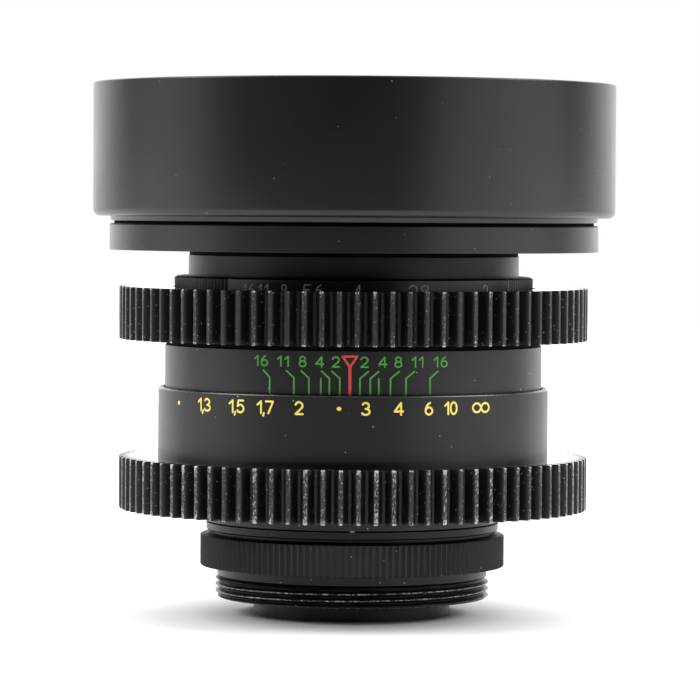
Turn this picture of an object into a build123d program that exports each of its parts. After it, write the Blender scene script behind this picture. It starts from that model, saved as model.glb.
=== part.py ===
from build123d import *
from math import acos, copysign, cos, degrees, pi, radians, sin, sqrt, tan
import os

# A 58 mm f/2 six-element prime lens with its cinema rings, standing on its rear cell.
# Lengths are in millimetres. Z is the optical axis, the front of the lens is up, the index
# mark faces -Y, and Z = 0 is the end of the rear cell. The lens is drawn as photographed:
# focused at about 2.7 m and closed down to f/4.

# Standard interfaces. The front ring's thin wall leaves a 77 mm filter thread at its mouth
mount_thread_d = 42.0
filter_thread_d = 49.0
step_thread_d = 72.0
front_ring_d = 80.0
front_thread_wall = 1.5
flange_focus = 45.46
gear_module = 0.8
gear_teeth = 87
gear_dedendum = 1.25
gear_profile_shift = 0.4
pressure_angle = 20.0

# Heights of the rear end, from the rear cell's end up
tail_length = 2.6
mount_thread_length = 3.5
thread_relief_length = 1.35
mount_knurl_length = 5.45
collar_thickness = 1.175
skirt_gap = 0.25
skirt_length = 1.875

# Focus group
gear_width = 8.0
gear_overhang = 0.2
focus_ring_wall = 0.8
focus_ring_length = 18.4
focus_ring_seat_length = 7.4
focus_edge_chamfer = 0.3
skirt_wall = 2.03
sleeve_wall = 2.0
sleeve_length = 16.6
sleeve_web = 1.0
helicoid_lead = 11.7
turn_to_infinity = 40.0
turn_to_near = 240.0

# Mount group
mount_knurl_overhang = 0.92
mount_chamfer_width = 0.75
mount_chamfer_height = 0.3
mount_recess_depth = 0.45
mount_recess_wall = 1.0
relief_depth = 0.3
undercut_width = 0.2
undercut_depth = 0.3
mount_bore_gap = 0.4
mount_floor = 1.2
tube_top_gap = 0.3
key_width = 5.0
key_length = 8.0
key_sink = 0.5
key_drop = 0.1
retainer_height = 1.5
retainer_wall = 2.2
stop_pin_d = 0.9
stop_pin_height = 0.875
stop_pin_sink = 0.975
stop_groove_depth = 1.15

# Optics group
depth_ring_wall = 1.4
depth_ring_height = 16.3
depth_edge_drop = 0.6
depth_edge_setback = 0.5
depth_ring_web = 3.0
depth_web_reach = 2.1
focus_to_gear_gap = 7.3
preset_ring_wall = 2.03
preset_proud = 1.7
preset_rim_height = 0.38
preset_rim_setback = 0.55
aperture_ring_wall = 2.53
aperture_ring_length = 4.9
filter_thread_wall = 0.82
filter_barrel_length = 3.75
filter_flange = 0.8
filter_flange_height = 0.8
filter_spigot = 1.5
step_rim_wall = 1.46
step_ring_height = 4.15
step_plate = 1.75
step_male_length = 3.05
step_male_wall = 1.3
front_collar_setback = 0.1
front_collar_taper = 0.28
front_collar_height = 1.13
front_body_height = 20.37
front_male_length = 2.1
front_male_wall = 1.6
front_thread_length = 4.0
front_floor_length = 3.6
ridge_count = 9
ridge_depth = 0.7
front_fillet = 1.15
front_edge_fillet = 0.3
ring_edge_chamfer = 0.2

# Optics barrel and its walls, outwards from the glass
front_rim = 15.8
cell_wall = 0.8
rotor_wall = 0.7
barrel_wall = 1.0
tube_wall = 1.8
helicoid_wall = 2.8
barrel_tail = 12.4
barrel_flange = 2.0
seat_inset = 0.1
cup_wall = 2.6
cup_thin_wall = 1.8
shim_thickness = 0.2
shim_width = 4.0
helicoid_flange = 1.2
lock_ring_height = 1.4
cell_flange_height = 1.4
name_ring_height = 1.5
rear_cell_wall = 2.54
rear_cell_flange_height = 6.35
iris_web = 1.2
iris_web_reach = 2.0

# Glass: faces numbered from the front, with their radii and the spaces between them
face_radius = (36.96, 110.0, 22.8, 90.0, 17.02, -14.92, 80.0, -24.5, 110.0, -42.73)
face_space = (5.4, 0.4, 6.8, 1.8, 13.4, 1.8, 8.0, 0.4, 5.0)
back_focus = 38.0
doublet_rim = 14.5
rear_rim = 12.5
front_concave_reach = 11.3
rear_concave_reach = 9.6
glass_bevel = 0.2
cement = 0.02
spacer_wall = 1.1
retaining_wall = 1.1
front_retaining_height = 1.8
rear_retaining_height = 1.6
rear_cell_lip = 0.7

# Iris
blade_count = 8
blade_thickness = 0.1
blade_step = 0.12
blade_pivot_radius = 15.2
blade_inner_radius = 9.8
blade_width = 4.9
blade_start = -6.0
blade_sweep = 116.0
blade_lobe = 0.75
drive_pin_distance = 5.0
drive_pin_angle = 88.0
blade_pin_d = 0.7
blade_pin_length = 0.8
blade_turn_at_f4 = 18.82
blade_ratio = 0.41
turn_to_open = 46.0
turn_to_closed = 33.0
housing_opening = 9.7
housing_thickness = 1.0
rotor_thickness = 1.0
iris_play = 0.1
slot_clearance = 0.1

# Screws, click and link
screw_angles = (90.0, 210.0, 330.0)
mount_screw_angles = (10.0, 170.0)
key_angles = (0.0, 180.0)
set_screw_d = 2.0
set_screw_length = 5.0
mount_screw_length = 2.8
small_screw_d = 1.4
small_screw_head_d = 2.4
small_screw_head = 0.6
depth_screw_d = 1.0
depth_screw_head_d = 1.66
link_screw_d = 1.6
link_head_d = 2.6
link_head_height = 1.2
link_angle = 90.0
click_ball_d = 0.8
click_spring_thickness = 0.2
click_spring_height = 1.4
click_spring_sweep = 46.0
click_angle = 90.0
click_notch = 0.15
stop_mark_angles = (-33.8, -28.8, -21.9, -13.1, 1.2, 20.2, 45.4)
index_angle = -0.9
gear_phase_front = 0.88
gear_phase_rear = 1.43

# Clearances
fit = 0.05
seat = 0.02
slide = 0.2
ring_gap = 0.22
helicoid_gap = 0.1
pin_clearance = 0.1
axial_play = 0.05
group_gap = 0.3

# Radii that follow from the walls, outwards from the glass
cell_outer = front_rim + cell_wall
rotor_inner = cell_outer + fit
rotor_outer = rotor_inner + rotor_wall
barrel_inner = rotor_outer + fit
barrel_outer = barrel_inner + barrel_wall
tube_inner = barrel_outer + slide
tube_outer = tube_inner + tube_wall
helicoid_inner = tube_outer + slide
helicoid_outer = helicoid_inner + helicoid_wall
sleeve_inner = helicoid_outer + helicoid_gap
sleeve_outer = sleeve_inner + sleeve_wall
focus_bore = sleeve_outer + fit
seat_outer = sleeve_outer - seat_inset
cup_inner = seat_outer - cup_wall
cup_thin_inner = seat_outer - cup_thin_wall
depth_inner = seat_outer + depth_web_reach
depth_outer = depth_inner + depth_ring_wall
focus_thin_inner = depth_outer + ring_gap
focus_outer = focus_thin_inner + focus_ring_wall
aperture_inner = seat_outer + fit
aperture_outer = aperture_inner + aperture_ring_wall
preset_outer = aperture_inner + preset_ring_wall
skirt_r = tube_outer + skirt_wall
knurl_r = skirt_r + mount_knurl_overhang
gear_pitch = gear_module * gear_teeth / 2
gear_tip = gear_pitch + (1 + gear_profile_shift) * gear_module
gear_root = gear_pitch - (gear_dedendum - gear_profile_shift) * gear_module

# Heights that follow from the lengths, from the bottom up
thread_end = tail_length
flange_seat = thread_end + mount_thread_length + thread_relief_length
collar_bottom = flange_seat + mount_knurl_length
collar_top = collar_bottom + collar_thickness
skirt_bottom = collar_top + skirt_gap
rear_gear_bottom = skirt_bottom + skirt_length
focus_bottom = rear_gear_bottom + gear_overhang
focus_top = focus_bottom + focus_ring_length
focus_seat_top = focus_bottom + focus_ring_seat_length
web_top = focus_bottom + sleeve_web
retainer_bottom = web_top + axial_play
retainer_top = retainer_bottom + retainer_height
sleeve_top = focus_bottom + sleeve_length
spigot_bottom = thread_end + mount_thread_length + thread_relief_length + mount_floor
infinity_travel = helicoid_lead * turn_to_infinity / 360

front_gear_bottom = focus_top + focus_to_gear_gap
front_gear_top = front_gear_bottom + gear_width
depth_top = front_gear_bottom - group_gap
depth_web_bottom = depth_top - depth_ring_web
depth_bottom = depth_top - depth_ring_height
flange_top = depth_web_bottom
flange_bottom = flange_top - barrel_flange
helicoid_top = flange_bottom - shim_thickness
helicoid_ledge = helicoid_top - helicoid_flange
lock_ring_bottom = helicoid_ledge - lock_ring_height
tube_top = lock_ring_bottom - infinity_travel - tube_top_gap
helicoid_bottom = retainer_top + infinity_travel + group_gap
key_top = tube_top - key_drop
key_slot_top = key_top + infinity_travel + group_gap
aperture_top = front_gear_bottom + aperture_ring_length
preset_bottom = aperture_top + slide
preset_top = front_gear_top + preset_proud
filter_flange_top = preset_top - pin_clearance
filter_flange_bottom = filter_flange_top - filter_flange_height
filter_top = preset_top + filter_barrel_length
step_top = filter_top + step_ring_height
front_collar_top = step_top + front_collar_height
front_top = front_collar_top + front_body_height

# The glass hangs from the flange focus: its last face is in focus at infinity
face_height = [flange_seat - flange_focus + back_focus + infinity_travel + sum(face_space)]
for space in face_space:
    face_height.append(face_height[-1] - space)


def sag(radius, reach):
    """How far a spherical face falls back at this reach from the axis."""
    return radius - copysign(sqrt(radius**2 - reach**2), radius)


def on_face(number, reach):
    """The point of a numbered glass face at this reach, as (radius, height)."""
    return (reach, face_height[number - 1] - sag(face_radius[number - 1], reach))


def half_plane(angle):
    """The plane through the axis at this angle: across is radius, up is height."""
    out = Vector(cos(radians(angle)), sin(radians(angle)), 0)
    return Plane(origin=(0, 0, 0), x_dir=out, z_dir=out.cross(Vector(0, 0, 1)))


def facing(angle, reach, height):
    """A plane that looks outwards at this angle, reach and height: across is tangential."""
    out = Vector(cos(radians(angle)), sin(radians(angle)), 0)
    return Plane(
        origin=out * reach + Vector(0, 0, height),
        x_dir=Vector(0, 0, 1).cross(out),
        z_dir=out,
    )


def section(*outline, angle=0.0):
    """A closed outline of (radius, height) points, ready to be turned about the axis."""
    with BuildSketch(half_plane(angle)) as drawing:
        with BuildLine():
            Polyline(*outline, close=True)
        make_face()
    return drawing.sketch


def ring(inner, outer, bottom, top, angle=0.0):
    """The section of a plain ring."""
    return section((inner, bottom), (outer, bottom), (outer, top), (inner, top), angle=angle)


def glass_section(front, rear, rim, front_reach, rear_reach, front_drop=0.0):
    """A lens element between two numbered faces, with flat ledges outside each reach."""
    drop = Vector(0, -front_drop)
    with BuildSketch(Plane.XZ) as drawing:
        with BuildLine():
            front_middle = Vector(*on_face(front, 0)) + drop
            front_edge = Vector(*on_face(front, front_reach)) + drop
            front_between = Vector(*on_face(front, front_reach / 2)) + drop
            rear_edge = Vector(*on_face(rear, rear_reach))
            ThreePointArc(front_middle, front_between, front_edge)
            Polyline(front_edge, (rim, front_edge.Y), (rim, rear_edge.Y), rear_edge)
            ThreePointArc(rear_edge, on_face(rear, rear_reach / 2), on_face(rear, 0))
            Line(on_face(rear, 0), front_middle)
        make_face()
    return drawing.sketch


def involute(angle):
    """The involute function of a pressure angle in radians."""
    return tan(angle) - angle


def gear_outline(phase):
    """The outline of the spur gear: three points on each involute flank of every tooth."""
    slope = radians(pressure_angle)
    base = gear_pitch * cos(slope)
    half_tooth = (pi / 2 + 2 * gear_profile_shift * tan(slope)) / gear_teeth + involute(slope)
    flank = []
    for reach in (gear_root, gear_pitch, gear_tip):
        flank.append((reach, half_tooth - involute(acos(base / reach))))
    points = []
    for tooth in range(gear_teeth):
        middle = radians(phase - 90) + 2 * pi * tooth / gear_teeth
        for reach, half in flank:
            points.append((reach * cos(middle - half), reach * sin(middle - half)))
        for reach, half in reversed(flank):
            points.append((reach * cos(middle + half), reach * sin(middle + half)))
    return points


def write(piece, name):
    """Name a finished piece and write it to its own file."""
    piece.part.label = name
    export_step(piece.part, f"parts/{name}.step")


os.makedirs("parts", exist_ok=True)

# Mount ring: knurled grip, flange seat and camera thread in one turned piece
thread_r = mount_thread_d / 2
mount_bore = barrel_outer + mount_bore_gap
mount_screw_height = (spigot_bottom + collar_bottom) / 2
with BuildPart() as mount_ring:
    revolve(
        section(
            (mount_bore, thread_end),
            (thread_r, thread_end),
            (thread_r, thread_end + mount_thread_length),
            (thread_r - relief_depth, thread_end + mount_thread_length),
            (thread_r - relief_depth, flange_seat + undercut_depth),
            (thread_r + undercut_width, flange_seat + undercut_depth),
            (thread_r + undercut_width, flange_seat),
            (knurl_r, flange_seat),
            (knurl_r, collar_bottom - mount_recess_depth - mount_chamfer_height),
            (knurl_r - mount_chamfer_width, collar_bottom - mount_recess_depth),
            (tube_outer + mount_recess_wall, collar_bottom - mount_recess_depth),
            (tube_outer + mount_recess_wall, collar_bottom),
            (tube_outer + seat, collar_bottom),
            (tube_outer + seat, spigot_bottom),
            (mount_bore, spigot_bottom),
        ),
        axis=Axis.Z,
    )
    with Locations(*[facing(angle, tube_inner, mount_screw_height) for angle in mount_screw_angles]):
        Cylinder(
            set_screw_d / 2 + seat,
            knurl_r,
            align=(Align.CENTER, Align.CENTER, Align.MIN),
            mode=Mode.SUBTRACT,
        )
write(mount_ring, "mount_ring")

# Mount barrel: the fixed tube that everything turns on, with the collar below the skirt
key_bottom = key_top - key_length
key_seat = tube_outer - key_sink
key_middle = (key_top + key_bottom) / 2
stop_reach = (tube_outer + slide + skirt_r) / 2
mount_screw_reach = knurl_r - mount_screw_length
mount_screw_tip = mount_screw_reach - seat
key_screw_rise = key_length / 4
key_screw_places = [
    (angle, key_middle + rise) for angle in key_angles for rise in (-key_screw_rise, key_screw_rise)
]
with BuildPart() as mount_barrel:
    revolve(
        section(
            (tube_inner, spigot_bottom),
            (tube_outer, spigot_bottom),
            (tube_outer, collar_bottom),
            (skirt_r - ring_edge_chamfer, collar_bottom),
            (skirt_r, collar_bottom + ring_edge_chamfer),
            (skirt_r, collar_top),
            (tube_outer, collar_top),
            (tube_outer, tube_top),
            (tube_inner, tube_top),
        ),
        axis=Axis.Z,
    )
    with Locations(*[facing(angle, key_seat, key_middle) for angle in key_angles]):
        Box(
            key_width + 2 * seat,
            key_length + 2 * seat,
            helicoid_wall,
            align=(Align.CENTER, Align.CENTER, Align.MIN),
            mode=Mode.SUBTRACT,
        )
    with Locations(*[facing(angle, 0, height) for angle, height in key_screw_places]):
        Cylinder(
            small_screw_d / 2 + seat,
            helicoid_outer,
            align=(Align.CENTER, Align.CENTER, Align.MIN),
            mode=Mode.SUBTRACT,
        )
    with Locations(
        *[facing(angle, mount_screw_tip, mount_screw_height) for angle in mount_screw_angles]
    ):
        Cylinder(
            set_screw_d / 2 + seat,
            mount_screw_length,
            align=(Align.CENTER, Align.CENTER, Align.MIN),
            mode=Mode.SUBTRACT,
        )
    with Locations(facing(-90, stop_reach, collar_top - stop_pin_sink).origin):
        Cylinder(
            stop_pin_d / 2 + seat,
            collar_thickness,
            align=(Align.CENTER, Align.CENTER, Align.MIN),
            mode=Mode.SUBTRACT,
        )
write(mount_barrel, "mount_barrel")

# Mount screws: two grub screws that fix the mount ring on the barrel
with BuildPart() as mount_screws:
    with Locations(
        *[facing(angle, mount_screw_reach, mount_screw_height) for angle in mount_screw_angles]
    ):
        Cylinder(
            set_screw_d / 2,
            mount_screw_length - group_gap,
            align=(Align.CENTER, Align.CENTER, Align.MIN),
        )
write(mount_screws, "mount_screws")

# Guide keys: two blocks on the fixed tube that let the optics slide but not turn
key_face = helicoid_outer - group_gap
with BuildPart() as guide_keys:
    with Locations(*[facing(angle, key_seat, key_middle) for angle in key_angles]):
        Box(
            key_width,
            key_length,
            key_face - key_seat,
            align=(Align.CENTER, Align.CENTER, Align.MIN),
        )
    with Locations(*[facing(angle, key_face, height) for angle, height in key_screw_places]):
        CounterBoreHole(
            radius=small_screw_d / 2 + seat,
            counter_bore_radius=small_screw_head_d / 2 + seat,
            counter_bore_depth=small_screw_head + slide,
            depth=key_face - key_seat,
        )
write(guide_keys, "guide_keys")

# Guide key screws: four cheese-head screws, their heads below the keys' faces
key_head_top = key_face - slide
with BuildPart() as guide_key_screws:
    with Locations(*[facing(angle, tube_inner + fit, height) for angle, height in key_screw_places]):
        Cylinder(
            small_screw_d / 2,
            key_head_top - tube_inner - fit,
            align=(Align.CENTER, Align.CENTER, Align.MIN),
        )
    with Locations(*[facing(angle, key_head_top, height) for angle, height in key_screw_places]):
        Cylinder(
            small_screw_head_d / 2,
            small_screw_head - seat,
            align=(Align.CENTER, Align.CENTER, Align.MAX),
        )
write(guide_key_screws, "guide_key_screws")

# Focus stop pin: stands in the collar and runs in the focus sleeve's groove
with BuildPart() as focus_stop_pin:
    with Locations(facing(-90, stop_reach, collar_top - stop_pin_sink).origin):
        Cylinder(
            stop_pin_d / 2,
            stop_pin_sink + stop_pin_height,
            align=(Align.CENTER, Align.CENTER, Align.MIN),
        )
write(focus_stop_pin, "focus_stop_pin")

# Sleeve retainer: threaded ring on the fixed tube that keeps the focus sleeve down
with BuildPart() as sleeve_retainer:
    revolve(
        ring(tube_outer + seat, tube_outer + retainer_wall, retainer_bottom, retainer_top),
        axis=Axis.Z,
    )
    with Locations((0, 0, retainer_top)):
        Box(
            2 * sleeve_inner,
            small_screw_d,
            2 * small_screw_head,
            mode=Mode.SUBTRACT,
        )
write(sleeve_retainer, "sleeve_retainer")

# Focus sleeve: runs on the fixed tube and carries the inner helicoid thread
stop_play = degrees((stop_pin_d / 2 + fit) / stop_reach)
groove_half = stop_pin_d / 2 + fit
with BuildPart() as focus_sleeve:
    revolve(
        section(
            (tube_outer + fit, skirt_bottom),
            (skirt_r, skirt_bottom),
            (skirt_r, focus_bottom),
            (sleeve_outer, focus_bottom),
            (sleeve_outer, sleeve_top),
            (sleeve_inner, sleeve_top),
            (sleeve_inner, web_top),
            (tube_outer + fit, web_top),
        ),
        axis=Axis.Z,
    )
    revolve(
        ring(
            stop_reach - groove_half,
            stop_reach + groove_half,
            skirt_bottom,
            skirt_bottom + stop_groove_depth,
            angle=-90 - turn_to_near - stop_play,
        ),
        axis=Axis.Z,
        revolution_arc=turn_to_near + turn_to_infinity + 2 * stop_play,
        mode=Mode.SUBTRACT,
    )
    set_screw_height = (rear_gear_bottom + focus_seat_top) / 2
    set_screw_tip = focus_outer - set_screw_length - slide
    with Locations(*[facing(angle, set_screw_tip - seat, set_screw_height) for angle in screw_angles]):
        Cylinder(
            set_screw_d / 2 + seat,
            set_screw_length,
            align=(Align.CENTER, Align.CENTER, Align.MIN),
            mode=Mode.SUBTRACT,
        )
write(focus_sleeve, "focus_sleeve")

# Focus ring: the scaled ring, thick where the gear grips it and thin where the
# depth scale ring slides inside
with BuildPart() as focus_ring:
    revolve(
        section(
            (focus_bore, focus_bottom),
            (focus_outer, focus_bottom),
            (focus_outer, focus_top - focus_edge_chamfer),
            (focus_outer - focus_edge_chamfer, focus_top),
            (focus_thin_inner, focus_top),
            (focus_thin_inner, focus_seat_top),
            (focus_bore, focus_seat_top),
        ),
        axis=Axis.Z,
    )
    with Locations(*[facing(angle, sleeve_inner, set_screw_height) for angle in screw_angles]):
        Cylinder(
            set_screw_d / 2 + seat,
            focus_outer,
            align=(Align.CENTER, Align.CENTER, Align.MIN),
            mode=Mode.SUBTRACT,
        )
write(focus_ring, "focus_ring")

# Focus ring screws: three grub screws that lock the ring to the sleeve, under the gear
with BuildPart() as focus_ring_screws:
    with Locations(*[facing(angle, set_screw_tip, set_screw_height) for angle in screw_angles]):
        Cylinder(
            set_screw_d / 2,
            set_screw_length,
            align=(Align.CENTER, Align.CENTER, Align.MIN),
        )
write(focus_ring_screws, "focus_ring_screws")

# Focus gear: seamless follow-focus gear, gripped by friction on the focus ring
with BuildPart() as focus_gear:
    with BuildSketch(Plane.XY.offset(rear_gear_bottom)):
        with BuildLine():
            Polyline(*gear_outline(gear_phase_rear), close=True)
        make_face()
        Circle(focus_outer + seat, mode=Mode.SUBTRACT)
    extrude(amount=gear_width)
write(focus_gear, "focus_gear")

# Inner helicoid: the sliding carrier, with a slot over each guide key
key_slot_width = key_width + 2 * fit
with BuildPart() as inner_helicoid:
    revolve(
        section(
            (helicoid_inner, helicoid_bottom),
            (helicoid_outer, helicoid_bottom),
            (helicoid_outer, helicoid_top),
            (barrel_outer + fit, helicoid_top),
            (barrel_outer + fit, helicoid_ledge),
            (helicoid_inner, helicoid_ledge),
        ),
        axis=Axis.Z,
    )
    with Locations(*[facing(angle, tube_inner, key_slot_top) for angle in key_angles]):
        Box(
            key_slot_width,
            key_slot_top,
            sleeve_inner,
            align=(Align.CENTER, Align.MAX, Align.MIN),
            mode=Mode.SUBTRACT,
        )
write(inner_helicoid, "inner_helicoid")

# Optics lock ring: threaded on the optics barrel, draws it down on the carrier
with BuildPart() as optics_lock_ring:
    revolve(
        ring(barrel_outer + seat, helicoid_inner - slide, lock_ring_bottom, helicoid_ledge),
        axis=Axis.Z,
    )
    with Locations((0, 0, lock_ring_bottom)):
        Box(
            2 * helicoid_outer,
            small_screw_d,
            2 * small_screw_head,
            mode=Mode.SUBTRACT,
        )
write(optics_lock_ring, "optics_lock_ring")

# Infinity shim: sets the distance from the glass to the camera flange
with BuildPart() as infinity_shim:
    revolve(
        ring(barrel_outer + slide, barrel_outer + slide + shim_width, helicoid_top, flange_bottom),
        axis=Axis.Z,
    )
write(infinity_shim, "infinity_shim")

# Optics barrel: holds both glass groups and the iris, and carries the aperture rings
barrel_web_top = on_face(6, rear_concave_reach)[1] + rear_cell_lip + pin_clearance
barrel_web_bottom = barrel_web_top - iris_web
cell_nose = barrel_inner - iris_web_reach
cup_ledge = filter_flange_bottom - filter_spigot - name_ring_height - cell_flange_height
link_height = (front_gear_bottom + aperture_top) / 2
link_slot_half = link_screw_d / 2 + pin_clearance
link_play = degrees(link_slot_half / cup_inner)
spring_floor = seat_outer - click_ball_d - click_spring_thickness - 2 * fit
click_height = (preset_bottom + filter_flange_bottom) / 2
depth_screw_bottom = flange_bottom + slide
depth_screw_reach = (seat_outer + depth_inner) / 2
flange_r = depth_inner - slide
with BuildPart() as optics_barrel:
    revolve(
        section(
            (barrel_inner, barrel_tail),
            (barrel_outer, barrel_tail),
            (barrel_outer, flange_bottom),
            (flange_r, flange_bottom),
            (flange_r, flange_top),
            (seat_outer, flange_top),
            (seat_outer, filter_flange_bottom),
            (cup_thin_inner, filter_flange_bottom),
            (cup_thin_inner, cup_ledge),
            (cup_inner, cup_ledge),
            (cup_inner, flange_top),
            (barrel_inner, flange_top),
            (barrel_inner, barrel_web_top),
            (cell_nose, barrel_web_top),
            (cell_nose, barrel_web_bottom),
            (barrel_inner, barrel_web_bottom),
        ),
        axis=Axis.Z,
    )
    revolve(
        ring(
            cup_inner - slide,
            seat_outer + slide,
            link_height - link_slot_half,
            link_height + link_slot_half,
            angle=link_angle - turn_to_open - link_play,
        ),
        axis=Axis.Z,
        revolution_arc=turn_to_open + turn_to_closed + 2 * link_play,
        mode=Mode.SUBTRACT,
    )
    revolve(
        ring(
            spring_floor,
            seat_outer + slide,
            click_height - click_spring_height / 2 - seat,
            click_height + click_spring_height / 2 + seat,
            angle=click_angle - click_spring_sweep / 2 - seat,
        ),
        axis=Axis.Z,
        revolution_arc=click_spring_sweep + 2 * seat,
        mode=Mode.SUBTRACT,
    )
    with Locations(*[facing(angle, depth_screw_reach, flange_top).origin for angle in screw_angles]):
        Hole(radius=depth_screw_d / 2 + seat, depth=barrel_flange)
write(optics_barrel, "optics_barrel")

# Depth scale ring: screwed on the barrel flange, its skirt slides inside the focus ring
with BuildPart() as depth_scale_ring:
    revolve(
        section(
            (seat_outer + seat, depth_web_bottom),
            (depth_inner, depth_web_bottom),
            (depth_inner, depth_bottom),
            (depth_outer, depth_bottom),
            (depth_outer, depth_top - depth_edge_drop),
            (depth_outer - depth_edge_setback, depth_top - depth_edge_drop),
            (depth_outer - depth_edge_setback, depth_top),
            (seat_outer + seat, depth_top),
        ),
        axis=Axis.Z,
    )
    with Locations(*[facing(angle, depth_screw_reach, depth_top).origin for angle in screw_angles]):
        CounterBoreHole(
            radius=depth_screw_d / 2 + seat,
            counter_bore_radius=depth_screw_head_d / 2 + seat,
            counter_bore_depth=small_screw_head + pin_clearance,
            depth=depth_ring_web,
        )
write(depth_scale_ring, "depth_scale_ring")

# Depth ring screws: three small screws down through the web into the barrel flange
depth_head_top = depth_top - pin_clearance
with BuildPart() as depth_ring_screws:
    with Locations((0, 0, depth_screw_bottom)):
        with PolarLocations(depth_screw_reach, 3, start_angle=screw_angles[0]):
            Cylinder(
                depth_screw_d / 2,
                depth_head_top - depth_screw_bottom,
                align=(Align.CENTER, Align.CENTER, Align.MIN),
            )
    with Locations((0, 0, depth_head_top)):
        with PolarLocations(depth_screw_reach, 3, start_angle=screw_angles[0]):
            Cylinder(
                depth_screw_head_d / 2,
                small_screw_head - seat,
                align=(Align.CENTER, Align.CENTER, Align.MAX),
            )
write(depth_ring_screws, "depth_ring_screws")

# Aperture ring: turns on the barrel under the front gear and drives the iris
link_head_bottom = aperture_outer - slide - link_head_height
with BuildPart() as aperture_ring:
    revolve(
        ring(aperture_inner, aperture_outer, front_gear_bottom, aperture_top),
        axis=Axis.Z,
    )
    with Locations(facing(link_angle, aperture_outer, link_height)):
        CounterBoreHole(
            radius=link_screw_d / 2 + seat,
            counter_bore_radius=link_head_d / 2 + seat,
            counter_bore_depth=link_head_height + slide + seat,
            depth=2 * aperture_ring_wall,
        )
write(aperture_ring, "aperture_ring")

# Aperture gear: the same seamless gear, over the aperture ring and part of the preset ring
with BuildPart() as aperture_gear:
    with BuildSketch(Plane.XY.offset(front_gear_bottom)):
        with BuildLine():
            Polyline(*gear_outline(gear_phase_front), close=True)
        make_face()
        Circle(aperture_outer + seat, mode=Mode.SUBTRACT)
    extrude(amount=gear_width)
write(aperture_gear, "aperture_gear")

# Aperture link screw: reaches from the ring through the barrel's slot to the iris rotor
with BuildPart() as aperture_link_screw:
    with Locations(facing(link_angle, rotor_inner + fit, link_height)):
        Cylinder(
            link_screw_d / 2,
            link_head_bottom - rotor_inner,
            align=(Align.CENTER, Align.CENTER, Align.MIN),
        )
    with Locations(facing(link_angle, link_head_bottom, link_height)):
        Cylinder(
            link_head_d / 2,
            link_head_height,
            align=(Align.CENTER, Align.CENTER, Align.MIN),
        )
write(aperture_link_screw, "aperture_link_screw")

# Preset ring: carries the stop numbers, with a click notch inside for each of them
with BuildPart() as preset_ring:
    revolve(
        section(
            (aperture_inner, preset_bottom),
            (preset_outer, preset_bottom),
            (preset_outer, preset_top - preset_rim_height),
            (preset_outer - preset_rim_setback, preset_top - preset_rim_height),
            (preset_outer - preset_rim_setback, preset_top),
            (seat_outer + filter_flange + slide, preset_top),
            (seat_outer + filter_flange + slide, filter_flange_bottom - pin_clearance),
            (aperture_inner, filter_flange_bottom - pin_clearance),
        ),
        axis=Axis.Z,
    )
    notch_r = click_ball_d / 2
    notch_reach = aperture_inner + click_notch - notch_r
    notch_angles = [click_angle - index_angle + mark for mark in stop_mark_angles]
    with Locations(*[facing(angle, notch_reach, click_height).origin for angle in notch_angles]):
        Cylinder(notch_r, 2 * notch_r, mode=Mode.SUBTRACT)
write(preset_ring, "preset_ring")

# Preset click ball: sits on the click spring and drops into the preset ring's notches
ball_reach = seat_outer - click_ball_d / 2 - seat
with BuildPart() as preset_click_ball:
    with Locations(facing(click_angle, ball_reach, click_height).origin):
        Sphere(click_ball_d / 2)
write(preset_click_ball, "preset_click_ball")

# Preset click spring: a strip of spring steel in the groove round the barrel
spring_outer = ball_reach - click_ball_d / 2 - seat
with BuildPart() as preset_click_spring:
    revolve(
        ring(
            spring_outer - click_spring_thickness,
            spring_outer,
            click_height - click_spring_height / 2,
            click_height + click_spring_height / 2,
            angle=click_angle - click_spring_sweep / 2,
        ),
        axis=Axis.Z,
        revolution_arc=click_spring_sweep,
    )
write(preset_click_spring, "preset_click_spring")

# Iris housing: the fixed plate that the eight blades pivot on
housing_bottom = barrel_web_top
housing_top = housing_bottom + housing_thickness
pivot_angles = [blade * 360 / blade_count for blade in range(blade_count)]
with BuildPart() as iris_housing:
    revolve(
        ring(housing_opening, barrel_inner - fit, housing_bottom, housing_top),
        axis=Axis.Z,
    )
    with Locations(*[facing(angle, blade_pivot_radius, housing_top).origin for angle in pivot_angles]):
        Hole(radius=blade_pin_d / 2 + fit, depth=housing_thickness)
write(iris_housing, "iris_housing")

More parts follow.
